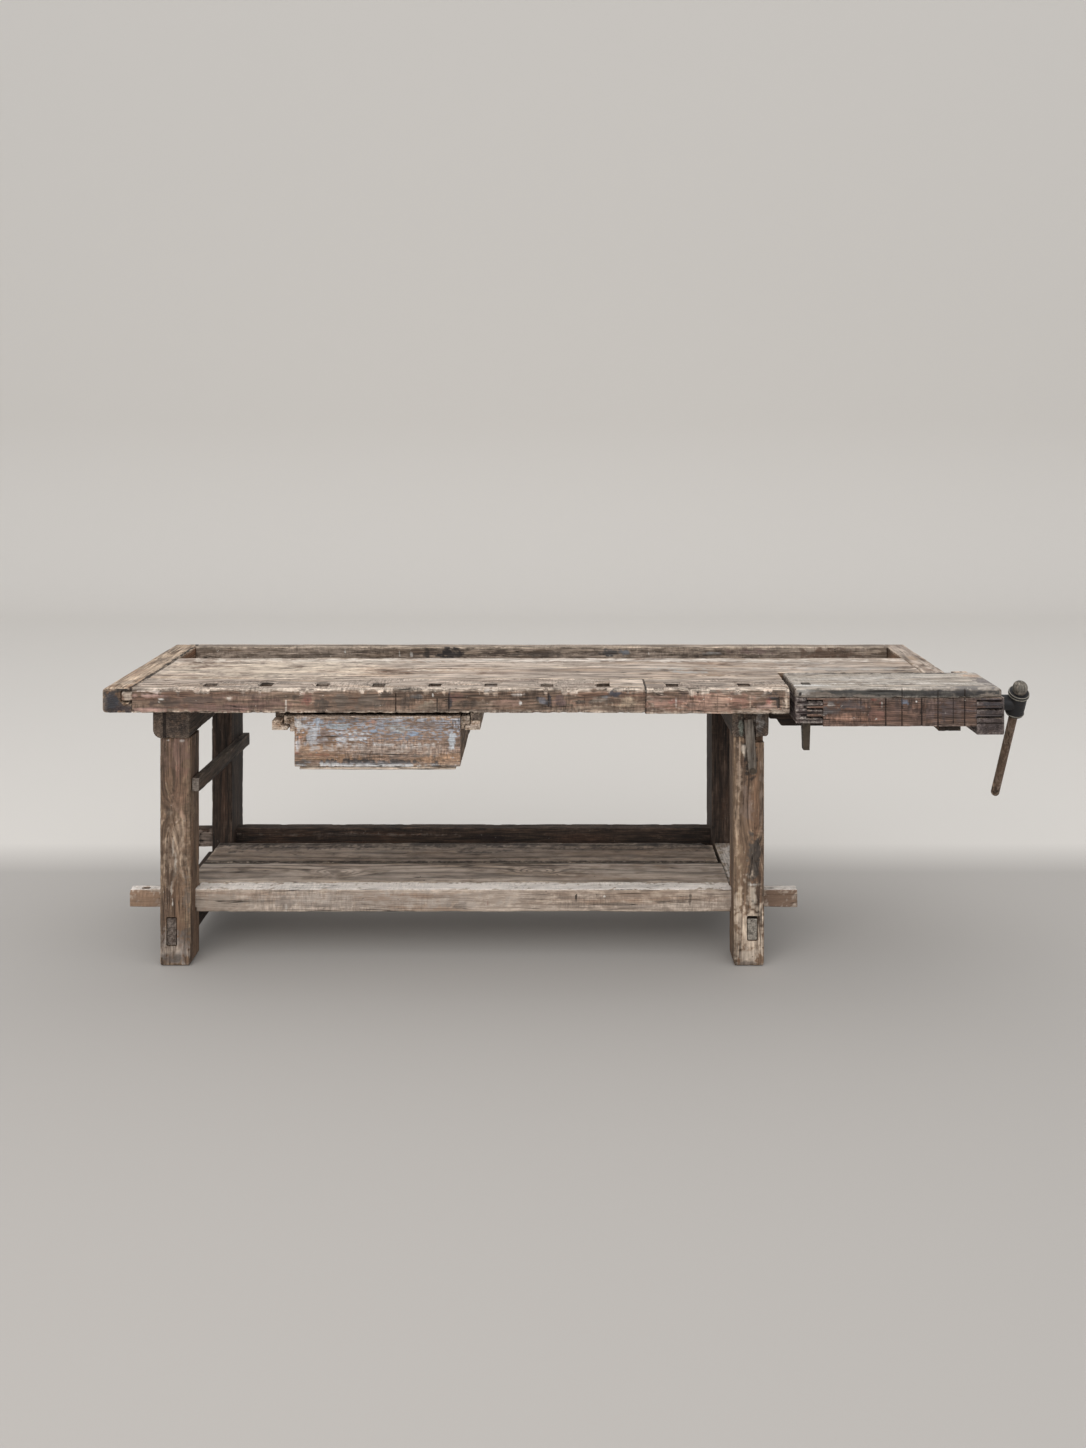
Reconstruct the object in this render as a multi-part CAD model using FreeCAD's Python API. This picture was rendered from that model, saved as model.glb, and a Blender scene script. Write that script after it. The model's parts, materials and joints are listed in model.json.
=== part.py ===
import FreeCAD, Part
import math
import os

V = FreeCAD.Vector

# A joiner's workbench: a thick top with a row of dog holes and a tray behind, on two
# trestles joined by stretchers, with a hung drawer and a wooden tail vise.
# Millimetres. X runs along the bench to the vise, Y runs back, Z is up from the floor.
# The origin is on the floor, in the middle of the length and depth over everything.

# The top
bench_height = 800.0
bench_depth = 640.0
top_thickness = 71.5
top_length = 2279.0  # between the end caps
work_width = 415.0  # front edge to the tray
dog_strip_width = 120.0
right_strip_length = 406.0  # up to the vise
strip_drop = 3.0  # the right strip hangs lower than the slab
front_arris = 9.0
worn_arris = 4.0
rear_rail_width = 45.0
tray_board_thickness = 20.0
tray_rabbet = 12.0
left_cap_width = 86.0
right_cap_width = 67.0
cap_corner = 15.0
tongue_length = 31.0
tongue_thickness = 29.0
tongue_cover = 8.5  # wood above the tongue
groove_slack = 5.0  # shrinkage below the tongue
groove_end_gap = 1.0

# Dog holes
dog_hole_length = 36.0
dog_hole_width = 30.0
dog_hole_setback = 47.0
dog_pitch = 160.0
first_dog = 204.0
last_dog_margin = 110.0  # least distance from a hole to the joint of the strips
dog_pitch_right = 205.0
first_dog_right = 81.0
last_dog_margin_right = 60.0

# A piece let into the top where the left strip ends
patch_length = 97.0
patch_thickness = 10.0
patch_setback = 20.0

# Fastenings of the top
cap_bolt_diameter = 12.0
cap_bolt_reach = 60.0
bolt_head_diameter = 26.0
bolt_head_thickness = 9.0
bolt_nut_size = 24.0
bolt_nut_thickness = 11.0
bolt_bore_clearance = 0.5
left_bolt_setback = 180.0
left_bolt_inset = 55.0  # rear bolt to the tray
right_bolt_setback = 255.0
right_bolt_inset = 50.0
peg_diameter = 25.0
peg_depth = 40.0
peg_setback = 190.0
peg_inset = 45.0  # rear peg to the tray

# Trestles
left_leg_inset = 150.0  # outer face of the left end cap to the leg
right_leg_inset = 152.0  # the leg's inner face to the vise notch
leg_width = 88.0
leg_depth = 90.0
leg_setback = 40.0
leg_arris = 7.0
rear_leg_width = 65.0
rear_leg_depth = 140.0
rear_leg_setback = 475.0
right_rear_leg_shift = 8.0
bearer_width = 105.0
bearer_setback = 30.0
bearer_length = 585.0
left_bearer_height = 79.5
right_bearer_height = 75.0
left_bearer_overhang = 16.0
right_bearer_overhang = 11.0
left_bearer_corners = (26.0, 10.0)
right_bearer_corners = (4.0, 12.0)
leg_tenon_width = 40.0
leg_tenon_thickness = 30.0
leg_tenon_height = 45.0
tenon_end_gap = 0.5
shoulder_gap_height = 18.0
shoulder_gap_depth = 25.0
shoulder_gap_width = 41.0
rail_thickness = 60.0
rail_inset = 14.0
rail_tenon_thickness = 29.0
front_rail_tenon_inset = 39.0
rear_rail_tenon_inset = 20.0
left_rail_height = 58.0
left_rail_tenon = 79.0
right_rail_height = 73.0
right_rail_tenon = 63.0
left_mortise_gap = 2.0
right_mortise_gap = 6.0
tie_rail_thickness = 23.0
tie_rail_height = 40.0
tie_rail_level = 493.0
tie_rail_fall = 19.0
tie_rail_setback = 49.0
tie_rail_length = 561.0

# Stretchers and shelf
stretcher_setback = 90.0
stretcher_thickness = 55.0
stretcher_height = 67.0
stretcher_tenon_thickness = 30.0
stretcher_tenon_height = 53.0
stub_length = 104.0
peg_hole_length = 20.0
peg_hole_width = 14.0
peg_hole_gap = 48.0  # leg to peg hole
rear_stretcher_setback = 522.0
rear_stretcher_thickness = 43.0
rear_stretcher_tenon = 30.0
rear_stretcher_level = 165.0
rear_stretcher_height = 62.0
shelf_height = 200.0
plank_thickness = 30.0
front_plank_width = 154.0
plank_seam = 1.0
rear_plank_width = 170.0
plank_overhang = 38.0  # past the left legs' inner faces
scoop_radius = 20.0
scoop_inset = 22.0
end_board_width = 84.0
end_board_thickness = 28.0
end_board_gap = 3.0
batten_width = 45.0
batten_thickness = 32.0
batten_housing = 10.0
middle_batten_offset = 767.0  # from the right legs

# Bar that ties the right bearer to its leg
tie_bar_length = 160.0
tie_bar_width = 27.0
tie_bar_thickness = 9.0
tie_bar_lean = 5.0
tie_bar_offset = 55.0  # lower end from the leg's inner face
tie_bar_drop = 183.5  # from the top's underside to the bar's foot
tie_slot_width = 36.0
tie_slot_gap = 0.5
tie_bolt_diameter = 8.0
tie_bolt_head = 15.0
tie_bolt_head_thickness = 4.0
tie_bolt_reach = 45.0

# Drawer
drawer_offset = 455.0  # from the left end cap to the drawer
drawer_width = 466.0
drawer_gap = 8.5  # under the top
drawer_height = 144.0
drawer_setback = 4.0
drawer_front_thickness = 22.0
drawer_depth = 450.0
drawer_wall = 14.0
drawer_bottom_thickness = 9.0
drawer_bottom_inset = 13.0
drawer_corner = 8.0
left_cleat_leg = 18.0
left_cleat_flange = 35.0
left_cleat_height = 45.0
right_cleat_leg = 11.0
right_cleat_flange = 26.0
right_cleat_height = 37.0
cleat_drop = 5.0  # below the drawer's top edge
cleat_step = 23.5
runner_width = 28.0
runner_height = 27.5
runner_lip_height = 12.5
runner_length = 505.0
runner_setback = 10.0
left_spacer_setback = 40.0  # behind the runner's front end
right_spacer_setback = 0.0
slide_clearance = 0.5
side_clearance = 2.0

# Tail vise
vise_notch_length = 433.0
vise_notch_depth = 203.0
jaw_gap = 16.0
vise_length = 590.0
cover_thickness = 28.0
cover_corner = 16.0
cover_gap = 2.0  # to the slab
front_jaw_thickness = 40.0
front_jaw_height = 81.0
jaw_head_length = 78.0
jaw_head_height = 74.0
end_block_length = 81.0
end_block_height = 105.0
tail_length = 43.0
tail_reach = 34.0
finger_height = 11.5
finger_count = 3
finger_shrink = 5.0
head_finger_length = 46.0
end_finger_length = 72.0
nose_setback = 55.0
nose_depth = 65.5  # below the slab's underside
nose_top_gap = 3.0
nose_rear_wall = 26.0
guide_rail_setback = 140.0
guide_rail_width = 60.0
guide_rail_height = 66.0
guide_rail_gap = 6.5  # under the slab
guide_nose_length = 49.0  # past the jaw
guide_nose_tip = 46.0
guide_nose_flat = 20.0  # before its ogee
guide_clearance = 0.5
guide_tenon_length = 40.0
guide_tenon_height = 40.0
guide_tongue_height = 12.0
guide_tongue_reach = 12.0
guide_tongue_seat = 12.0
guide_tongue_level = 16.0  # top of the tongue below the bench top

# Vise screw and handle
screw_diameter = 30.0
screw_setback = 100.0
screw_drop = 64.5  # from the bench top to the screw
screw_reach = 468.0  # from the end block's outer face into the vise
screw_bore_clearance = 0.5
thread_clearance = 0.05
nut_diameter = 50.0
nut_flange_diameter = 64.0
nut_flange_thickness = 6.0
flange_size = 80.0
flange_thickness = 5.0
flange_corner = 6.0
flange_screw_diameter = 6.0
flange_screw_head = 12.0
flange_screw_reach = 30.0
flange_screw_pitch = 58.0
collar_diameter = 48.0
collar_thickness = 9.0
collar_gap = 0.3
ring_diameter = 45.0
ring_thickness = 8.0
ring_pocket = 9.0
hub_offset = 68.0  # end block to the handle's axis
hub_length = 79.0
hub_waist_diameter = 51.0
hub_upper_diameter = 58.0
hub_lower_diameter = 50.0
hub_band = 9.0
hub_bead = 1.5
hub_lip = 2.0
hub_neck = 1.0
hub_boss_diameter = 44.0
handle_diameter = 25.0
handle_clearance = 0.5
handle_reach = 370.0
handle_tilt = 29.0
knob_diameter = 42.0
knob_height = 37.0
knob_gap = 0.3
knob_tenon_diameter = 16.0
knob_tenon_length = 26.0

# Dog in the vise
dog_offset = 40.0  # from the jaw face
dog_setback = 56.5
dog_width = 23.0
dog_thickness = 26.0
dog_tip_width = 17.0
dog_length = 187.0
dog_clearance = 0.7
spring_thickness = 1.2
spring_width = 12.0
spring_length = 90.0
spring_recess = 1.5

# Places worked out from the sizes above
overall_length = (left_cap_width + top_length - vise_notch_length + jaw_gap + vise_length
                  + hub_offset + hub_upper_diameter / 2)
left_x = -overall_length / 2
slab_left = left_x + left_cap_width
slab_right = slab_left + top_length
cap_right = slab_right + right_cap_width
notch_x = slab_right - vise_notch_length
joint_x = notch_x - right_strip_length
left_strip_length = joint_x - slab_left
dog_count_left = 1 + int((left_strip_length - first_dog - last_dog_margin) / dog_pitch)
dog_count_right = 1 + int((right_strip_length - first_dog_right - last_dog_margin_right)
                          / dog_pitch_right)
front_y = -bench_depth / 2
rear_y = bench_depth / 2
strip_y = front_y + dog_strip_width
notch_y = front_y + vise_notch_depth
tray_y = front_y + work_width
rail_y = rear_y - rear_rail_width
top_z = bench_height
under_z = top_z - top_thickness
tongue_top = top_z - tongue_cover
tongue_bottom = tongue_top - tongue_thickness
middle_z = (top_z + under_z) / 2
left_bolts = (front_y + left_bolt_setback, tray_y - left_bolt_inset)
right_bolts = (front_y + right_bolt_setback, tray_y - right_bolt_inset)
dog_y = front_y + dog_hole_setback
left_leg_x = left_x + left_leg_inset + leg_width
right_leg_x = notch_x - right_leg_inset
leg_y = front_y + leg_setback
leg_back_y = leg_y + leg_depth
rear_leg_y = front_y + rear_leg_setback
rear_leg_back_y = rear_leg_y + rear_leg_depth
shelf_under = shelf_height - plank_thickness
stretcher_y = front_y + stretcher_setback
stretcher_back_y = stretcher_y + stretcher_thickness
rear_stretcher_y = front_y + rear_stretcher_setback
jaw_x = notch_x + jaw_gap
head_x = jaw_x + jaw_head_length
vise_end_x = jaw_x + vise_length
end_block_x = vise_end_x - end_block_length
cover_z = top_z - cover_thickness
screw_level = top_z - screw_drop
tie_bar_foot = under_z - tie_bar_drop
cover_back_y = notch_y - cover_gap
guide_y = front_y + guide_rail_setback
guide_back_y = guide_y + guide_rail_width
guide_top = under_z - guide_rail_gap
screw_y = front_y + screw_setback
hub_x = vise_end_x + hub_offset
tilt = math.radians(handle_tilt)
handle_up = V(0, -math.sin(tilt), math.cos(tilt))
hub_centre = V(hub_x, screw_y, screw_level)

nodes = {}


def at(axis, along, a, b):
    """The point at (a, b) across the axis and at the given distance along it."""
    return {"x": V(along, a, b), "y": V(a, along, b), "z": V(a, b, along)}[axis]


def prism(axis, along, outline):
    """Carry a closed outline along an axis. A step is a corner, or (middle, end) of an arc."""
    points = [at(axis, along[0], *outline[0])]
    edges = []
    for step in outline[1:] + outline[:1]:
        if isinstance(step[0], tuple):
            middle = at(axis, along[0], *step[0])
            end = at(axis, along[0], *step[1])
            edges.append(Part.Arc(points[-1], middle, end).toShape())
        else:
            end = at(axis, along[0], *step)
            if end.distanceToPoint(points[-1]) < 1e-6:
                continue
            edges.append(Part.makeLine(points[-1], end))
        points.append(end)
    face = Part.Face(Part.Wire(edges))
    return face.extrude(at(axis, along[1] - along[0], 0, 0))


def bar(axis, along, a, b, radii=0.0):
    """A straight length of timber with its four long edges rounded."""
    a = sorted(a)
    b = sorted(b)
    if not isinstance(radii, tuple):
        radii = (radii,) * 4
    limit = 0.49 * min(a[1] - a[0], b[1] - b[0])
    corners = ((a[0], b[0], 1, 1), (a[1], b[0], -1, 1), (a[1], b[1], -1, -1), (a[0], b[1], 1, -1))
    outline = []
    for index, (x, y, inward_x, inward_y) in enumerate(corners):
        r = min(radii[index], limit)
        if r <= 0:
            outline.append((x, y))
            continue
        bend = r * (1 - math.sqrt(0.5))
        ends = [(x, y + inward_y * r), (x + inward_x * r, y)]
        if index % 2:
            ends.reverse()
        outline.append(ends[0])
        outline.append(((x + inward_x * bend, y + inward_y * bend), ends[1]))
    return prism(axis, sorted(along), outline)


def rod(axis, along, a, b, diameter):
    """A round bar along an axis, centred at (a, b)."""
    low, high = sorted(along)
    return Part.makeCylinder(diameter / 2, high - low, at(axis, low, a, b), at(axis, 1, 0, 0))


def turned(profile, centre, direction):
    """Turn a (radius, height) profile about an axis through a centre."""
    points = [V(radius, 0, height) for radius, height in profile]
    solid = Part.Face(Part.makePolygon(points + points[:1])).revolve(V(), V(0, 0, 1), 360)
    solid.Placement = FreeCAD.Placement(centre, FreeCAD.Rotation(V(0, 0, 1), direction))
    return solid


def spread(start, pitch, count):
    return [start + pitch * index for index in range(count)]


def add(name, shape, *cuts):
    """Keep one named piece, with its holes and housings cut."""
    for tool in cuts:
        shape = shape.cut(tool)
    nodes[name] = shape


# The joint between the end caps and the slab
def tongue(x, y):
    return bar("x", x, y, (tongue_bottom, tongue_top))


def groove(x, y):
    return bar("x", x, y, (tongue_bottom - groove_slack, tongue_top))


def cap_bolts():
    """Bolts through the end caps, each with its bore, counterbore, nut and nut pocket."""
    bolts = []
    nuts = []
    bores = []
    places = [(left_x, 1, y) for y in left_bolts] + [(cap_right, -1, y) for y in right_bolts]
    for face_x, inward, y in places:
        seat = face_x + inward * bolt_head_thickness
        width = left_cap_width if inward > 0 else right_cap_width
        tip = face_x + inward * (width + cap_bolt_reach)
        nut_x = tip - inward * bolt_nut_thickness
        head = rod("x", (face_x, seat), y, middle_z, bolt_head_diameter)
        shank = rod("x", (seat, tip), y, middle_z, cap_bolt_diameter)
        bolts.append(head.fuse(shank).removeSplitter())
        half = bolt_nut_size / 2
        nut = bar("x", (nut_x, tip), (y - half, y + half), (middle_z - half, middle_z + half))
        nuts.append(nut.cut(shank))
        bores.append(rod("x", (face_x, tip), y, middle_z, cap_bolt_diameter + 2 * bolt_bore_clearance))
        bores.append(rod("x", (face_x, seat), y, middle_z, bolt_head_diameter))
        pocket_x = (nut_x, tip + inward * bolt_bore_clearance)
        bores.append(bar("x", pocket_x, (y - half, y + half), (under_z, middle_z + half)))
    return bolts, nuts, bores


def bearer_pegs():
    """Pegs that stand in the bearers and locate the loose top."""
    pegs = []
    for inner_x, outward, overhang in ((left_leg_x, -1, left_bearer_overhang),
                                       (right_leg_x, 1, right_bearer_overhang)):
        x = inner_x + outward * (leg_width + overhang - bearer_width / 2)
        for y in (front_y + peg_setback, tray_y - peg_inset):
            pegs.append(rod("z", (under_z - peg_depth, under_z + peg_depth), x, y, peg_diameter))
    return pegs


def dog_holes(start, pitch, count):
    holes = []
    for x in spread(start, pitch, count):
        across = (x - dog_hole_length / 2, x + dog_hole_length / 2)
        holes.append(bar("z", (under_z - strip_drop, top_z), across, (dog_y, dog_y + dog_hole_width)))
    return holes


def make_top():
    bolts, nuts, bores = cap_bolts()
    pegs = bearer_pegs()
    nodes["end_cap_bolts"] = Part.makeCompound(bolts)
    nodes["end_cap_bolt_nuts"] = Part.makeCompound(nuts)
    nodes["bearer_pegs"] = Part.makeCompound(pegs)

    # Main slab, stepped back for the vise
    plan = [(slab_left, strip_y), (notch_x, strip_y), (notch_x, notch_y), (slab_right, notch_y),
            (slab_right, tray_y), (slab_left, tray_y)]
    slab = prism("z", (under_z, top_z), plan)
    slab = slab.fuse(tongue((slab_left - tongue_length, slab_left), (strip_y, tray_y)))
    slab = slab.fuse(tongue((slab_right, slab_right + tongue_length), (notch_y, tray_y)))
    slab = slab.removeSplitter()
    tray_z = under_z + tray_board_thickness
    rabbet = bar("x", (slab_left, slab_right), (tray_y - tray_rabbet, tray_y), (under_z, tray_z))
    add("main_slab", slab, rabbet, guide_slot(), *bores, *pegs)

    # Front strips with the dog holes
    radii = (worn_arris, 0.0, 0.0, front_arris)
    left_strip = bar("x", (slab_left, joint_x), (front_y, strip_y), (under_z, top_z), radii)
    left_strip = left_strip.fuse(tongue((slab_left - tongue_length, slab_left),
                                        (front_y + worn_arris, strip_y))).removeSplitter()
    patch = bar("x", (joint_x - patch_length, joint_x), (front_y + patch_setback, strip_y),
                (top_z - patch_thickness, top_z))
    left_holes = dog_holes(slab_left + first_dog, dog_pitch, dog_count_left)
    add("front_strip_left", left_strip, patch, *left_holes)
    add("top_patch", patch)
    right_strip = bar("x", (joint_x, notch_x), (front_y, strip_y), (under_z - strip_drop, top_z), radii)
    right_holes = dog_holes(joint_x + first_dog_right, dog_pitch_right, dog_count_right)
    add("front_strip_right", right_strip, *right_holes)

    # Left end cap
    cap_radii = (cap_corner, worn_arris, worn_arris, cap_corner)
    left_cap = bar("y", (front_y, rear_y), (left_x, slab_left), (under_z, top_z), cap_radii)
    left_groove = groove((slab_left - tongue_length - groove_end_gap, slab_left), (front_y, tray_y))
    add("left_end_cap", left_cap, left_groove, *bores)

    # Right end cap, with a deep nose that carries the vise nut and guides the rail
    nose_z = under_z - nose_depth
    guide_slot_y = (guide_y - guide_clearance, guide_back_y + guide_clearance)
    wall_y = guide_slot_y[1] + nose_rear_wall
    section = [(front_y + nose_setback, nose_z), (wall_y, nose_z),
               ((wall_y + 0.29 * nose_depth, nose_z + 0.71 * nose_depth),
                (wall_y + nose_depth, under_z)),
               (rear_y, under_z), (rear_y, top_z), (notch_y, top_z),
               (notch_y, cover_z - nose_top_gap), (front_y + nose_setback, cover_z - nose_top_gap)]
    right_cap = prism("x", (slab_right, cap_right), section)
    right_groove = groove((slab_right, slab_right + tongue_length + groove_end_gap), (notch_y, tray_y))
    rail_slot = bar("x", (slab_right, cap_right), guide_slot_y, (nose_z, guide_top + guide_clearance))
    nut_bore = rod("x", (slab_right, cap_right), screw_y, screw_level, nut_diameter)
    add("right_end_cap", right_cap, right_groove, rail_slot, nut_bore, *bores)

    # Tray
    rear_rail = bar("x", (slab_left, slab_right), (rail_y, rear_y), (under_z, top_z),
                    (0.0, worn_arris, worn_arris, worn_arris))
    rail_rabbet = bar("x", (slab_left, slab_right), (rail_y, rail_y + tray_rabbet), (under_z, tray_z))
    add("rear_rail", rear_rail, rail_rabbet)
    add("tray_board", bar("x", (slab_left, slab_right), (tray_y - tray_rabbet, rail_y + tray_rabbet),
                          (under_z, tray_z)))


def make_trestle(side, inner_x, outward, bearer_height, overhang, rear_shift, rail_z, tenon_height,
                 mortise_gap):
    """One end frame. Distances across it are measured outward from the front leg's inner face."""
    def across(near, far):
        return sorted((inner_x + outward * near, inner_x + outward * far))

    leg_top = under_z - bearer_height
    pegs = bearer_pegs()
    front_x = across(0, leg_width)
    rear_x = across(-rear_shift, rear_leg_width - rear_shift)

    # Tenons on the legs, housed in the bearer
    tenons = []
    sockets = []
    for leg_x, y in ((front_x, (leg_y, leg_back_y)), (rear_x, (rear_leg_y, rear_leg_back_y))):
        centre_x = sum(leg_x) / 2
        centre_y = sum(y) / 2
        plan = ((centre_x - leg_tenon_thickness / 2, centre_x + leg_tenon_thickness / 2),
                (centre_y - leg_tenon_width / 2, centre_y + leg_tenon_width / 2))
        tenons.append(bar("z", (leg_top, leg_top + leg_tenon_height), *plan))
        sockets.append(bar("z", (leg_top, leg_top + leg_tenon_height + tenon_end_gap), *plan))

    # Cross rail with a tenon through each leg
    front_tenon_x = across(front_rail_tenon_inset, front_rail_tenon_inset + rail_tenon_thickness)
    rear_tenon_x = across(rear_rail_tenon_inset, rear_rail_tenon_inset + rail_tenon_thickness)
    tenon_z = (rail_z, rail_z + tenon_height)
    rail = bar("y", (leg_back_y, rear_leg_y), across(rail_inset, rail_inset + rail_thickness),
               (rail_z, shelf_under))
    front_tenon = bar("y", (leg_y, leg_back_y), front_tenon_x, tenon_z)
    rear_tenon = bar("y", (rear_leg_y, rear_leg_back_y), rear_tenon_x, tenon_z)
    add(side + "_cross_rail", rail.fuse([front_tenon, rear_tenon]).removeSplitter())
    front_mortise = bar("y", (leg_y, leg_back_y), front_tenon_x, (rail_z, tenon_z[1] + mortise_gap))

    # Legs
    radii = (leg_arris, leg_arris, worn_arris, worn_arris)
    front_leg = bar("z", (0, leg_top), front_x, (leg_y, leg_back_y), radii)
    rear_leg = bar("z", (0, leg_top), rear_x, (rear_leg_y, rear_leg_back_y), worn_arris)
    front_cuts = [front_mortise, stretcher_bar()]
    if side == "right":
        gap_x = across(leg_width - shoulder_gap_width, leg_width)
        front_cuts.append(bar("z", (leg_top - shoulder_gap_height, leg_top), gap_x,
                              (leg_y, leg_y + shoulder_gap_depth)))
        front_cuts.append(tie_bolt())
    front_leg = front_leg.fuse(tenons[0]).removeSplitter()
    rear_leg = rear_leg.fuse(tenons[1]).removeSplitter()
    add(side + "_front_leg", front_leg, *front_cuts)
    add(side + "_rear_leg", rear_leg, rear_tenon, rear_stretcher_bar())

    # Bearer under the top
    bearer_x = across(leg_width + overhang - bearer_width, leg_width + overhang)
    lower = left_bearer_corners if side == "left" else right_bearer_corners
    bearer = bar("y", (front_y + bearer_setback, front_y + bearer_setback + bearer_length),
                 bearer_x, (leg_top, under_z), lower + (0.0, 0.0))
    bearer_cuts = sockets + pegs
    if side == "right":
        bearer_cuts.append(bar("y", (front_y, strip_y), bearer_x, (under_z - strip_drop, under_z)))
        bearer_cuts.append(tie_slot(leg_top))
    add(side + "_top_bearer", bearer, *bearer_cuts)


def tie_frame():
    """Foot of the tie bar and the direction that it leans in."""
    lean = math.radians(tie_bar_lean)
    foot = V(right_leg_x + tie_bar_offset, leg_y, tie_bar_foot)
    return foot, V(-math.sin(lean), 0, math.cos(lean))


def tie_bolt():
    foot, up = tie_frame()
    centre = foot + up * (tie_bar_width / 2)
    front = leg_y - tie_bar_thickness
    head = rod("y", (front - tie_bolt_head_thickness, front), centre.x, centre.z, tie_bolt_head)
    shank = rod("y", (front, front + tie_bolt_reach), centre.x, centre.z, tie_bolt_diameter)
    return head.fuse(shank).removeSplitter()


def tie_slot(leg_top):
    foot, up = tie_frame()
    top = foot + up * tie_bar_length
    x = (top.x + foot.x + up.x * (leg_top - tie_bar_foot)) / 2
    return bar("z", (leg_top, under_z), (x - tie_slot_width / 2, x + tie_slot_width / 2),
               (front_y + bearer_setback, leg_y + tie_slot_gap))


def make_tie_bar():
    foot, up = tie_frame()
    half = tie_bar_width / 2
    side = V(up.z, 0, -up.x)
    low_left = foot + up * half - side * half
    low_right = foot + up * half + side * half
    top_left = foot + up * tie_bar_length - side * half
    top_right = foot + up * tie_bar_length + side * half
    outline = [(low_right.x, low_right.z), (top_right.x, top_right.z), (top_left.x, top_left.z),
               (low_left.x, low_left.z), ((foot.x, foot.z), (low_right.x, low_right.z))]
    plate = prism("y", (leg_y - tie_bar_thickness, leg_y), outline)
    add("leg_tie_bar", plate, tie_bolt())
    add("tie_bar_bolt", tie_bolt())


def stretcher_bar():
    """The tenon that runs through both front legs and out beyond them."""
    ends = (left_leg_x - leg_width - stub_length, right_leg_x + leg_width + stub_length)
    return bar("x", ends, (stretcher_y, stretcher_y + stretcher_tenon_thickness),
               (shelf_height - stretcher_tenon_height, shelf_height))


def rear_stretcher_bar():
    ends = (left_leg_x - rear_leg_width - stub_length,
            right_leg_x - right_rear_leg_shift + rear_leg_width + stub_length)
    return bar("x", ends, (rear_stretcher_y, rear_stretcher_y + rear_stretcher_tenon),
               (rear_stretcher_level, rear_stretcher_level + rear_stretcher_height))


def make_base():
    span = (left_leg_x, right_leg_x)
    make_trestle("left", left_leg_x, -1, left_bearer_height, left_bearer_overhang, 0.0,
                 left_rail_height, left_rail_tenon, left_mortise_gap)
    make_trestle("right", right_leg_x, 1, right_bearer_height, right_bearer_overhang,
                 right_rear_leg_shift, right_rail_height, right_rail_tenon, right_mortise_gap)
    make_tie_bar()

    # Sloping rail nailed to the left legs
    tie_y = (front_y + tie_rail_setback, front_y + tie_rail_setback + tie_rail_length)
    tie_rear = tie_rail_level - tie_rail_fall
    slope = [(tie_y[0], tie_rail_level), (tie_y[1], tie_rear), (tie_y[1], tie_rear + tie_rail_height),
             (tie_y[0], tie_rail_level + tie_rail_height)]
    add("left_tie_rail", prism("x", (left_leg_x, left_leg_x + tie_rail_thickness), slope))

    # Shelf battens, let into the front stretcher and notched under the rear one
    batten_y = (stretcher_back_y - batten_housing, rear_stretcher_y + rear_stretcher_thickness)
    batten_z = (shelf_under - batten_thickness, shelf_under)
    batten_starts = {"shelf_batten_middle": right_leg_x - middle_batten_offset,
                     "shelf_batten_right": right_leg_x - right_rear_leg_shift - end_board_gap - batten_width}
    battens = {name: bar("y", batten_y, (x, x + batten_width), batten_z)
               for name, x in batten_starts.items()}

    # Stretchers
    body = bar("x", span, (stretcher_y, stretcher_back_y), (shelf_height - stretcher_height, shelf_height),
               (worn_arris, 0.0, 0.0, worn_arris))
    hole_x = left_leg_x - leg_width - peg_hole_gap
    hole_y = stretcher_y + (stretcher_tenon_thickness - peg_hole_width) / 2
    peg_hole = bar("z", (0, shelf_height), (hole_x - peg_hole_length, hole_x),
                   (hole_y, hole_y + peg_hole_width))
    add("front_stretcher", body.fuse(stretcher_bar()).removeSplitter(), peg_hole, *battens.values())
    rear_span = (left_leg_x, right_leg_x - right_rear_leg_shift)
    rear_body = bar("x", rear_span, (rear_stretcher_y, rear_stretcher_y + rear_stretcher_thickness),
                    (rear_stretcher_level, rear_stretcher_level + rear_stretcher_height))
    rear_stretcher = rear_body.fuse(rear_stretcher_bar()).removeSplitter()
    add("rear_stretcher", rear_stretcher)
    for name, batten in battens.items():
        add(name, batten, rear_stretcher)

    # Shelf boards
    plank_left = left_leg_x - plank_overhang
    seam_y = stretcher_back_y + front_plank_width
    plank_z = (shelf_under, shelf_height)
    add("shelf_front_plank", bar("x", (plank_left, right_leg_x), (stretcher_back_y, seam_y), plank_z))
    rear_edge = seam_y + plank_seam + rear_plank_width
    scoop = rod("z", plank_z, right_leg_x - scoop_inset, rear_edge, 2 * scoop_radius)
    rear_plank = bar("x", (plank_left, right_leg_x - right_rear_leg_shift), (seam_y + plank_seam, rear_edge),
                     plank_z, (0.0, worn_arris, worn_arris, 0.0))
    add("shelf_rear_plank", rear_plank, scoop)
    add("shelf_end_board", bar("y", (leg_back_y + end_board_gap, rear_leg_y - end_board_gap),
                               (right_leg_x, right_leg_x + end_board_width),
                               (shelf_under, shelf_under + end_board_thickness)))


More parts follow.
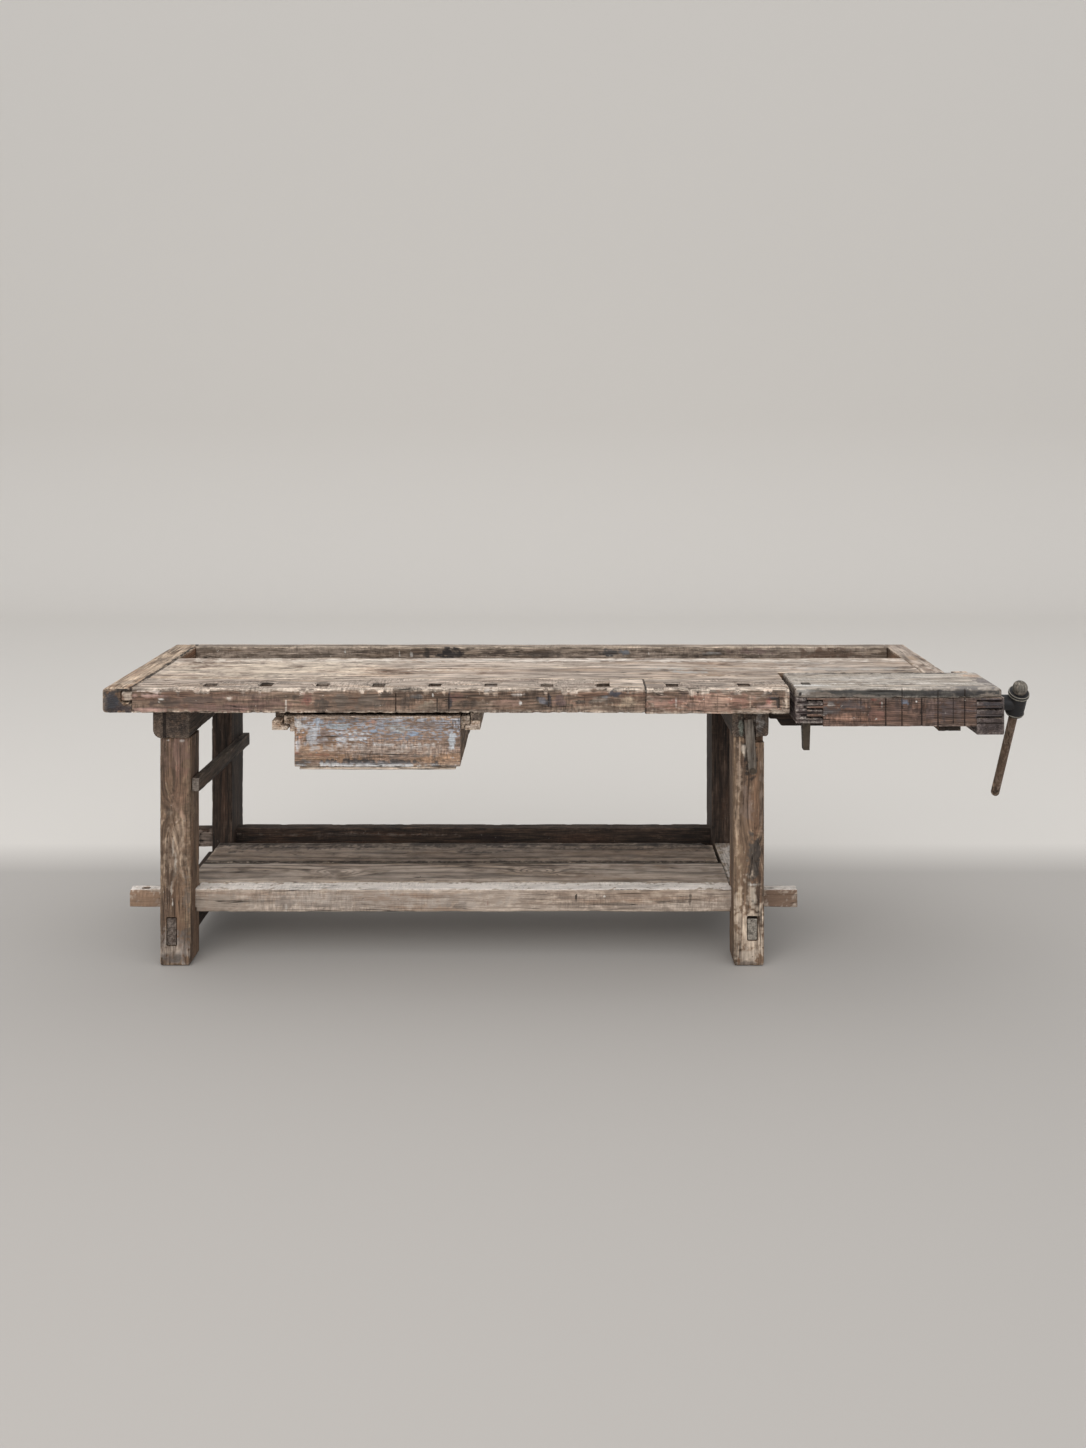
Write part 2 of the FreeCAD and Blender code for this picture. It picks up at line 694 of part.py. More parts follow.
def make_drawer():
    left = slab_left + drawer_offset
    right = left + drawer_width
    top = under_z - drawer_gap
    low = top - drawer_height
    face_y = front_y + drawer_setback
    inner_y = face_y + drawer_front_thickness
    back_y = face_y + drawer_depth

    front = bar("y", (face_y, inner_y), (left, right), (low, top), (drawer_corner, drawer_corner, 1.0, 1.0))
    add("drawer_front", front)
    for name, x in (("left", (left, left + drawer_wall)), ("right", (right - drawer_wall, right))):
        add("drawer_" + name + "_side", bar("x", x, (inner_y, back_y), (low, top)))
    add("drawer_back", bar("y", (back_y - drawer_wall, back_y),
                           (left + drawer_wall, right - drawer_wall), (low, top)))
    bottom_x = (left + drawer_bottom_inset, right - drawer_bottom_inset)
    add("drawer_bottom", bar("z", (low - drawer_bottom_thickness, low), bottom_x,
                             (face_y + worn_arris, back_y)))

    # Cleats on the sides hang on the lips of the runners
    cleat_top = top - cleat_drop
    step_z = cleat_top - cleat_step
    lip_top = step_z - slide_clearance
    runner_low = lip_top - runner_lip_height
    runner_top = runner_low + runner_height
    hung_sides = (
        ("left", left, -1, left_cleat_leg, left_cleat_flange, left_cleat_height, left_spacer_setback),
        ("right", right, 1, right_cleat_leg, right_cleat_flange, right_cleat_height, right_spacer_setback))
    for name, x, outward, leg, flange, height, spacer_setback in hung_sides:
        leg_x = x + outward * leg
        flange_x = x + outward * flange
        cleat = [(x, cleat_top - height), (leg_x, cleat_top - height), (leg_x, step_z),
                 (flange_x, step_z), (flange_x, cleat_top), (x, cleat_top)]
        add("drawer_" + name + "_cleat", prism("y", (inner_y, back_y), cleat))
        lip_x = leg_x + outward * side_clearance
        wall_x = flange_x + outward * side_clearance
        far_x = wall_x + outward * runner_width
        runner = [(lip_x, runner_low), (far_x, runner_low), (far_x, runner_top), (wall_x, runner_top),
                  (wall_x, lip_top), (lip_x, lip_top)]
        runner_y = (front_y + runner_setback, front_y + runner_setback + runner_length)
        add("drawer_" + name + "_runner", prism("y", runner_y, runner))
        spacer_y = (runner_y[0] + spacer_setback, runner_y[1])
        add(name + "_runner_spacer", bar("y", spacer_y, (wall_x, far_x), (runner_top, under_z)))


def finger_levels():
    """Tops of the jaw board's fingers, every second one down from the cover board."""
    return spread(cover_z, -2 * finger_height, finger_count)


def finger_sockets(x):
    return [bar("x", x, (front_y, front_y + front_jaw_thickness), (level - finger_height, level))
            for level in finger_levels()]


def guide_strip(slack):
    """The strip let into the slab's stepped edge, which the cover board slides on."""
    level = top_z - guide_tongue_level
    return bar("x", (notch_x - slack, slab_right),
               (notch_y - guide_tongue_reach - slack, notch_y + guide_tongue_seat),
               (level - guide_tongue_height - slack, level + slack))


def guide_slot():
    return guide_strip(0.0)


def dog_blank(slack):
    """The dog's shape, grown by a clearance for its hole."""
    x = jaw_x + dog_offset
    y = front_y + dog_setback
    half = dog_width / 2 + slack
    return bar("z", (top_z - dog_length, top_z), (x - half, x + half),
               (y - dog_thickness / 2 - slack, y + dog_thickness / 2 + slack))


def make_vise():
    dog_hole = dog_blank(dog_clearance)
    sides = (front_y, cover_back_y)

    # Guide rail with an ogee nose, tenoned into the end block
    nose_x = jaw_x - guide_nose_length
    low = guide_top - guide_rail_height
    tip = guide_top - guide_nose_tip
    drop = (tip - low) / 2
    curve_x = nose_x + guide_nose_flat
    middle = (curve_x + drop, tip - drop)
    bottom = (curve_x + 2 * drop, low)
    ogee = [(nose_x, guide_top), (nose_x, tip), (curve_x, tip),
            ((curve_x + 0.71 * drop, tip - 0.29 * drop), middle),
            ((middle[0] + 0.29 * drop, middle[1] - 0.71 * drop), bottom),
            (end_block_x, low), (end_block_x, guide_top)]
    rail = prism("y", (guide_y, guide_back_y), ogee)
    tenon = bar("x", (end_block_x, end_block_x + guide_tenon_length), (guide_y, guide_back_y),
                (guide_top - guide_tenon_height, guide_top))
    rail = rail.fuse(tenon).removeSplitter()
    add("vise_guide_rail", rail)

    # Front jaw board, fingered into the blocks at both ends
    board_z = cover_z - front_jaw_height
    jaw = bar("x", (head_x, end_block_x), (front_y, front_y + front_jaw_thickness), (board_z, cover_z))
    for level in finger_levels():
        jaw = jaw.fuse(bar("x", (head_x - head_finger_length, end_block_x + end_finger_length),
                           (front_y, front_y + front_jaw_thickness),
                           (level - finger_height + finger_shrink, level)))
    add("vise_front_jaw", jaw.removeSplitter(), dog_hole)

    head_z = (cover_z - jaw_head_height, cover_z)
    head = bar("x", (jaw_x, head_x), sides, head_z, (worn_arris, 0.0, 0.0, 0.0))
    add("vise_jaw_head", head, rail, dog_hole, *finger_sockets((head_x - head_finger_length, head_x)))

    # End block with a tail behind the end cap
    block_z = cover_z - end_block_height
    block = bar("x", (end_block_x, vise_end_x), sides, (block_z, cover_z), (worn_arris, 0.0, 0.0, 0.0))
    tail_y = (cover_back_y, cover_back_y + tail_reach)
    tail = bar("x", (end_block_x, end_block_x + tail_length), tail_y, (block_z, top_z),
               (0.0, worn_arris, tail_reach / 2, 0.0))
    bore = rod("x", (end_block_x, vise_end_x), screw_y, screw_level,
               screw_diameter + 2 * screw_bore_clearance)
    pocket = rod("x", (end_block_x, end_block_x + ring_pocket), screw_y, screw_level,
                 ring_diameter + 2 * screw_bore_clearance)
    add("vise_end_block", block.fuse(tail).removeSplitter(), rail, bore, pocket, flange_screws(),
        *finger_sockets((end_block_x, end_block_x + end_finger_length)))

    # Cover board, rounded at its outer end and grooved for the guide strip
    section = bar("x", (jaw_x, vise_end_x), sides, (cover_z, top_z), (0.0, 0.0, 0.0, front_arris))
    plan = bar("z", (cover_z, top_z), (jaw_x, vise_end_x), sides, (1.0, cover_corner, cover_corner, 1.0))
    cover_groove = guide_strip(guide_clearance).fuse(
        bar("x", (slab_right, vise_end_x), (notch_y - guide_tongue_reach - guide_clearance, notch_y),
            (top_z - guide_tongue_level - guide_tongue_height - guide_clearance,
             top_z - guide_tongue_level + guide_clearance)))
    add("vise_cover_board", section.common(plan), cover_groove, dog_hole)
    add("vise_guide_tongue", guide_strip(0.0))


def flange_screws():
    screws = []
    half = flange_screw_pitch / 2
    for y in (screw_y - half, screw_y + half):
        for z in (screw_level - half, screw_level + half):
            face = vise_end_x + flange_thickness
            head = rod("x", (face, face + flange_thickness / 2), y, z, flange_screw_head)
            shank = rod("x", (face - flange_screw_reach, face), y, z, flange_screw_diameter)
            screws.append(head.fuse(shank).removeSplitter())
    return Part.makeCompound(screws)


def make_screw():
    # Nut in the end cap's nose
    nut = rod("x", (slab_right, cap_right), screw_y, screw_level, nut_diameter)
    nut_flange = rod("x", (slab_right - nut_flange_thickness, slab_right), screw_y, screw_level,
                     nut_flange_diameter)
    nut_bore = rod("x", (slab_right - nut_flange_thickness, cap_right), screw_y, screw_level,
                   screw_diameter + 2 * thread_clearance)
    add("vise_nut", nut.fuse(nut_flange).removeSplitter(), nut_bore)

    # Flange plate on the end block
    plate_x = (vise_end_x, vise_end_x + flange_thickness)
    half = flange_size / 2
    plate = bar("x", plate_x, (screw_y - half, screw_y + half), (screw_level - half, screw_level + half),
                flange_corner)
    plate_bore = rod("x", plate_x, screw_y, screw_level, screw_diameter + 2 * screw_bore_clearance)
    add("screw_flange", plate, plate_bore, flange_screws())
    add("flange_screws", flange_screws())

    # Screw, with its collar and the hub that holds the handle
    shaft_start = vise_end_x - screw_reach
    collar_start = plate_x[1] + collar_gap
    shaft = rod("x", (shaft_start, hub_x), screw_y, screw_level, screw_diameter)
    collar = rod("x", (collar_start, collar_start + collar_thickness), screw_y, screw_level, collar_diameter)
    boss = rod("x", (collar_start, hub_x), screw_y, screw_level, hub_boss_diameter)
    half = hub_length / 2
    waist = hub_waist_diameter / 2
    lower = hub_lower_diameter / 2
    upper = hub_upper_diameter / 2
    profile = [(0, -half), (lower, -half), (lower + hub_bead, -half + hub_band / 2),
               (lower, -half + hub_band), (waist, -half / 3), (waist, half / 3),
               (waist - hub_neck, half - 1.5 * hub_band), (upper - hub_lip, half - hub_band),
               (upper, half - hub_band / 2), (upper - hub_lip, half), (0, half)]
    hub = turned(profile, hub_centre, handle_up)
    bore_radius = handle_diameter / 2 + handle_clearance
    bore = turned([(0, -half), (bore_radius, -half), (bore_radius, half), (0, half)], hub_centre, handle_up)
    add("vise_screw", shaft.fuse([collar, boss, hub]).removeSplitter(), bore)
    ring_end = end_block_x + ring_pocket - collar_gap
    ring_x = (ring_end - ring_thickness, ring_end)
    ring = rod("x", ring_x, screw_y, screw_level, ring_diameter)
    add("screw_thrust_ring", ring, rod("x", ring_x, screw_y, screw_level, screw_diameter))

    # Handle with its round lower end, and the knob on its upper tenon
    radius = handle_diameter / 2
    seat = half + knob_gap
    pin = knob_tenon_diameter / 2
    knob_top = seat + knob_height
    end_curve = [(radius * math.sin(math.radians(a)),
                  -handle_reach + radius * (1 - math.cos(math.radians(a))))
                 for a in range(0, 91, 15)]
    handle = end_curve + [(radius, seat), (pin, seat), (pin, seat + knob_tenon_length),
                          (0, seat + knob_tenon_length)]
    add("vise_handle", turned(handle, hub_centre, handle_up))
    ball = knob_diameter / 2
    dome = [(ball * math.cos(math.radians(a)), knob_top - ball + ball * math.sin(math.radians(a)))
            for a in range(0, 90, 15)]
    knob = [(pin, seat), (0.86 * ball, seat), (0.97 * ball, seat + 0.2 * knob_height)] + dome
    knob += [(0, knob_top), (0, seat + knob_tenon_length), (pin, seat + knob_tenon_length)]
    add("handle_knob", turned(knob, hub_centre, handle_up))


def make_dog():
    """A tapered bench dog with a leaf spring let into one face."""
    x = jaw_x + dog_offset
    y = front_y + dog_setback
    half = dog_width / 2
    tip = dog_tip_width / 2
    foot_z = top_z - dog_length
    shoulder = cover_z - jaw_head_height
    side = [(x - tip, foot_z), (x + tip, foot_z), (x + half, shoulder), (x + half, top_z),
            (x - half, top_z), (x - half, shoulder)]
    blank = prism("y", (y - dog_thickness / 2, y + dog_thickness / 2), side)
    recess_z = (shoulder, shoulder + spring_length)
    recess_y = (y - spring_width / 2, y + spring_width / 2)
    recess = bar("z", recess_z, (x - half, x - half + spring_recess), recess_y)
    add("vise_dog", blank, recess)
    add("dog_spring", bar("z", recess_z, (x - half + spring_recess - spring_thickness,
                                          x - half + spring_recess), recess_y))


make_top()
make_base()
make_drawer()
make_vise()
make_screw()
make_dog()

os.makedirs("parts", exist_ok=True)
for name, shape in nodes.items():
    shape.exportStep("parts/" + name + ".step")
print(len(nodes), "pieces, overall length", round(overall_length, 1))
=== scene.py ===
import json
import math

import bpy
import numpy as np
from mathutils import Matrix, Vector


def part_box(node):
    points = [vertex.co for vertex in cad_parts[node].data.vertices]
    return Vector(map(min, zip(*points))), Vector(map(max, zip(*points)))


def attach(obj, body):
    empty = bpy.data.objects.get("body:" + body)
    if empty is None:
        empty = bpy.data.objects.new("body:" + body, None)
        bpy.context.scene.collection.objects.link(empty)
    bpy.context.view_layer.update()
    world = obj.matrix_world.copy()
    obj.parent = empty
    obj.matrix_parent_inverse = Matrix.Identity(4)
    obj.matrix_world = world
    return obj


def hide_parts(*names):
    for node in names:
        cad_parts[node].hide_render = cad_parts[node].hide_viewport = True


# An old joiner's bench: worn, bleached and stained timber over the fixed frame.
# Metres, apart from marks, grooves, knots, hub rims and values named Mm, in millimetres.
# X runs along the bench to the vise, Y runs back, Z is up from the floor.
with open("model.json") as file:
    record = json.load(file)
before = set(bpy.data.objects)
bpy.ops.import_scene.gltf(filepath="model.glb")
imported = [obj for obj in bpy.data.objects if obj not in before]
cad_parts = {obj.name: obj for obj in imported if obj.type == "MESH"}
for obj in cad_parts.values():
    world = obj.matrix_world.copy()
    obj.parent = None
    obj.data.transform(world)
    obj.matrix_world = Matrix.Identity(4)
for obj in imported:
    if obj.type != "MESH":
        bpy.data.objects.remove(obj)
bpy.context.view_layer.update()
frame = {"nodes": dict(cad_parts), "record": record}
record = frame["record"]
print("frame loaded")

boxes = {name: [np.array(corner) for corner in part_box(name)] for name in frame["nodes"]}
openings = {o["name"]: np.array(o["box_m"]) for o in record["physics"]["openings"]}
bodyOf = {node: body for body, nodes in record["behaviour"]["bodies"].items() for node in nodes}
slotOf = {part["node"]: part["material_slot"] for part in record["subparts"]}
frontY = boxes["front_strip_left"][0][1]
topZ = boxes["front_strip_left"][1][2]
underZ = boxes["front_strip_left"][0][2]


def linear(hexCode):
    # sRGB hex to linear: a power curve of 2.4 with a straight toe
    values = [int(hexCode[i:i + 2], 16) / 255 for i in (1, 3, 5)]
    return tuple(v / 12.92 if v <= 0.04045 else ((v + 0.055) / 1.055) ** 2.4 for v in values) + (1.0,)


def add(tree, kind, settings={}, links={}):
    # one node, with its properties or unlinked inputs set and its inputs linked
    node = tree.nodes.new("ShaderNode" + kind)
    for name, value in settings.items():
        if isinstance(name, str) and hasattr(node, name):
            setattr(node, name, value)
        else:
            node.inputs[name].default_value = value
    for name, source in links.items():
        tree.links.new(source, node.inputs[name])
    return node


def smoothNoise(points, seed, octaves=3):
    # random values on a wrapped lattice, blended by a cubic step between the eight corners
    # round each point; each octave is twice as fine and half as strong
    size = 32
    table = np.random.default_rng(seed).random((size, size, size))
    total = np.zeros(len(points))
    for octave in range(octaves):
        scaled = points * 2 ** octave + 7.31 * octave
        cell = np.floor(scaled).astype(int)
        part = scaled - cell
        part = part * part * (3 - 2 * part)
        for corner in range(8):
            step = np.array([corner & 1, corner >> 1 & 1, corner >> 2 & 1])
            a, b, c = ((cell + step) % size).T
            total += table[a, b, c] * np.prod(np.where(step, part, 1 - part), axis=1) / 2 ** octave
    return total / sum(0.5 ** octave for octave in range(octaves))


def ramp(values, low, high):
    # 0 below low, 1 above high, a cubic step between
    t = np.clip((values - low) / (high - low), 0, 1)
    return t * t * (3 - 2 * t)


axisOrder = {"x": (0, 1, 2), "y": (1, 0, 2), "z": (2, 0, 1)}  # length, then the section's two ways
arrisReach = 0.012  # how far from an arris its rubbing still shows
endRadius = 0.002  # worn ends of a timber
endRough = 0.0012  # depth of the roughness on end grain
# the dirt colour also paints the shade down the dog holes
dirtAndShadeColour = "#231A15"  # packed into kerfs, corners and dog holes


def toWorld(own, axis):
    world = np.empty_like(own)
    world[:, list(axisOrder[axis])] = own
    return world


def gridLines(length, cell, marks=()):
    # lines along one side: close together near both ends for the rolled arris, even between
    # them, and one on each mark
    close = np.array([0, 0.0007, 0.0018, 0.0035, 0.006, 0.0095, 0.014, 0.019])
    close = close[close < 0.45 * length]
    count = max(1, round((length - 2 * close[-1]) / cell))
    middle = np.linspace(close[-1], length - close[-1], count + 1)
    lines = np.concatenate([close[:-1], middle, (length - close)[::-1][1:]])
    marks = np.array([m for m in marks if 1e-4 < m < length - 1e-4])
    if len(marks):
        near = np.abs(lines[:, None] - marks[None, :]).min(axis=1) < 0.0009
        near[[0, -1]] = False
        lines = np.concatenate([lines[~near], marks])
    return np.unique(np.round(lines, 7))


markAxes = {"front": [0, 2], "top": [0, 1]}  # the two axes that a face's marks are placed on


def fronts(*rows):
    # marks on faces that look to the front: a row holds the middle's x and z, the width, the
    # height, the colour and the strength
    return [("front",) + row for row in rows]


def tops(*rows):
    # marks on faces that look up: a row holds y and the depth in place of z and the height
    return [("top",) + row for row in rows]


def grooves(*rows):
    # saw kerfs and open joints on a front face: a row holds x and z, one of them as two ends,
    # and may go on with a depth and a width
    return [dict(zip(("x", "z", "deep", "wide"), row)) for row in rows]


def markColours(world, normal, marks, seed):
    # each mark is an ellipse on the faces that look its way, with a ragged rim; later marks lie
    # over earlier ones
    rim = {"fine": 130, "broad": 45, "broadShare": 0.7, "ragged": 1.5, "soft": 0.75,
           "greyed": 0.35}
    colour = np.zeros((len(world), 4))
    ragged = ((smoothNoise(world * rim["fine"], seed + 5, 2) - 0.5)
              + rim["broadShare"] * (smoothNoise(world * rim["broad"], seed + 6, 2) - 0.5))
    facing = {"front": ramp(-normal[:, 1], 0.2, 0.6), "top": ramp(normal[:, 2], 0.2, 0.6)}
    for faces, first, second, wide, high, hexCode, strength in marks:
        at = np.array([first, second]) / 1000
        size = np.array([wide / 2, high / 2]) / 1000
        away = np.linalg.norm((world[:, markAxes[faces]] - at) / size, axis=1)
        mask = ramp(1.15 - away + rim["ragged"] * ragged, 0.0, rim["soft"]) * strength * facing[faces]
        cover = mask[:, None]
        tone = np.array(linear(hexCode)[:3])
        tone += rim["greyed"] * (tone.mean() - tone)  # an old stain, never as strong as fresh paint
        colour[:, :3] = colour[:, :3] * (1 - cover) + tone * cover
        colour[:, 3] = colour[:, 3] * (1 - mask) + mask
    filled = colour[:, 3] > 1e-4
    colour[filled, :3] /= colour[filled, 3:]
    return colour


def kerfDepth(world, normal, kerfs):
    # saw kerfs and open joints on a front face, upright or level: a groove as deep as a bell of
    # the distance from its line, between its ends
    depth = np.zeros(len(world))
    for kerf in kerfs:
        across, along = (2, 0) if isinstance(kerf["x"], tuple) else (0, 2)
        line = (kerf["z"] if across == 2 else kerf["x"]) / 1000
        low, high = (end / 1000 for end in (kerf["x"] if across == 2 else kerf["z"]))
        width = kerf.get("wide", 2.4) / 1000
        bell = np.clip(1.4 - 1.4 * np.abs(world[:, across] - line) / width, 0, 1)
        inside = ramp(world[:, along], low - 0.003, low) * ramp(-world[:, along], -high - 0.003, -high)
        depth = np.maximum(depth, bell * inside * kerf.get("deep", 2.5) / 1000)
    return depth * ramp(-normal[:, 1], 0.3, 0.8)


def roundOff(world, box, rounds):
    # corners drawn in to a quarter round: past the arc's centre both ways, a point moves back
    # along the line to that centre until it lies on the arc
    world = world.copy()
    for first, firstWay, second, secondWay, radius in rounds:
        faces = [box[way > 0][axis] for axis, way in ((first, firstWay), (second, secondWay))]
        past = [1 - (faces[0] - world[:, first]) * firstWay / radius,
                1 - (faces[1] - world[:, second]) * secondWay / radius]
        reach = np.hypot(*past)
        outside = (past[0] > 0) & (past[1] > 0) & (reach > 1)
        for axis, way, face, part in ((first, firstWay, faces[0], past[0]),
                                      (second, secondWay, faces[1], past[1])):
            world[outside, axis] = face - way * radius * (1 - part[outside] / reach[outside])
    return world


def finishMasks(world, normal, arris, look, seed):
    # four wear masks from where a point faces: arris wear, grime with painted shade on faces that look
    # down, bleaching, old coat
    broad = smoothNoise(world * np.array([5.0, 14.0, 14.0]) + 3.7, seed + 1, 3)
    fine = smoothNoise(world * np.array([22.0, 60.0, 60.0]), seed + 2, 3)
    up = np.clip(normal[:, 2], 0, 1) ** 0.6
    front = np.clip(-normal[:, 1], 0, 1) * (1 - up)
    down = np.clip(-normal[:, 2], 0, 1)
    bleach = look["bleachTop"] * up + look["bleachSide"] * (1 - up)
    bleach = bleach * (0.8 + 0.8 * (broad - 0.5)) + 0.3 * (fine - 0.5)
    coat = look["coatFront"] * front
    if "coatAlong" in look:
        coat = coat * ramp(world[:, 0], *look["coatAlong"])
    if "coatAbove" in look:
        coat = coat * ramp(world[:, 2], *look["coatAbove"])
    coat = coat * (0.55 + 0.9 * (broad - 0.3))
    # faces that look down get 0.35 more: painted shade under each piece
    grime = look["grime"] * (0.5 + broad) + 0.35 * down
    wear = arris * (0.5 + 0.9 * fine)
    masks = np.stack([wear, grime, bleach, coat], axis=1)
    return np.clip(masks, 0, 1)


def knotWarp(own, knots):
    # the grain bends round a knot: points near one are pushed across by a bell of its size
    bent = own.copy()
    for along, across, through, size in np.array(knots, float).reshape(-1, 4) / 1000:
        away = own - np.array([along, across, through])
        bell = np.exp(-(away[:, 0] / (4.5 * size)) ** 2 - (away[:, 1] / (2.5 * size)) ** 2
                      - (away[:, 2] / (2.5 * size)) ** 2)
        bent[:, 1] += 1.1 * size * bell * np.sign(away[:, 1] + 1e-9)
    return bent


def growthRings(own, look, seed):
    # the distance from a wandering pith line, counted in growth rings, with a bump of a few
    # rings over every knot; where the line dips, flat-sawn faces get their long arches
    middle = (own.min(axis=0) + own.max(axis=0)) / 2
    half = (own.max(axis=0) - own.min(axis=0)) / 2
    side, deep = np.random.default_rng(seed + 31).uniform((-0.4, 0.02), (0.4, 0.06))
    along = np.stack([own[:, 0] / 0.55, np.zeros(len(own)), np.zeros(len(own))], axis=1)
    wander = smoothNoise(along, seed + 32, 2) - 0.5
    dip = smoothNoise(along + 4.7, seed + 33, 2) - 0.5
    p = own[:, 1] - middle[1] - side * half[1] - 0.05 * wander
    q = own[:, 2] - middle[2] + half[2] + deep + 0.07 * dip
    rings = np.hypot(p, q) * 1000 / look["ringMm"]
    for place in np.array(look["knots"], float).reshape(-1, 4) / 1000:
        away = (own - place[:3]) / (place[3] * np.array([2.6, 1.0, 1.0]))
        rings += 3.5 * np.exp(-0.5 * (away ** 2).sum(axis=1))
    return rings


def dress(mesh, world, own, normal, arris, look, seed, dirtAndShade):
    # writes the grain place, the rings, the wear masks and the painted marks on every vertex
    offset = np.random.default_rng(seed).random(3) * 5
    grain = knotWarp(own, look["knots"]) + offset
    rings = growthRings(own, look, seed)
    masks = finishMasks(world, normal, arris, look, seed)
    marks = markColours(world, normal, look["marks"], seed)
    # dirt, and the painted shade down the dog holes, in the dirt colour over the marks
    cover = np.clip(dirtAndShade, 0, 1)[:, None]
    marks[:, :3] = marks[:, :3] * (1 - cover) + np.array(linear(dirtAndShadeColour)[:3]) * cover
    marks[:, 3] = np.maximum(marks[:, 3], cover[:, 0])
    for name, kind, field, values in (("grainAt", "FLOAT_VECTOR", "vector", grain),
                                      ("ringAt", "FLOAT", "value", rings),
                                      ("wearAt", "FLOAT_COLOR", "color", masks),
                                      ("markAt", "FLOAT_COLOR", "color", marks)):
        layer = mesh.attributes.new(name, kind, "POINT")
        layer.data.foreach_set(field, values.astype(np.float32).ravel())


def place(mesh, name, node, material):
    # puts a finished mesh in the scene on its node's body, with the given material
    piece = bpy.data.objects.new(name, mesh)
    bpy.context.scene.collection.objects.link(piece)
    mesh.materials.clear()
    mesh.materials.append(material)
    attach(piece, bodyOf[node])
    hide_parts(node)


def closedMesh(name, world, quads, tris):
    # a mesh of quads and triangles, turned outwards by the sign of its volume
    mesh = bpy.data.meshes.new(name)
    corners, fans = world[quads], world[tris]
    volume = np.einsum("ij,ij->i", corners[:, 0], np.cross(corners[:, 1], corners[:, 2])).sum()
    volume += np.einsum("ij,ij->i", corners[:, 0], np.cross(corners[:, 2], corners[:, 3])).sum()
    volume += np.einsum("ij,ij->i", fans[:, 0], np.cross(fans[:, 1], fans[:, 2])).sum()
    if volume < 0:
        quads, tris = quads[:, ::-1], tris[:, ::-1]
    mesh.from_pydata(world.tolist(), [], quads.tolist() + tris.tolist())
    mesh.shade_smooth()
    return mesh


def seedOf(name):
    return sum(ord(letter) * (i + 1) for i, letter in enumerate(name))


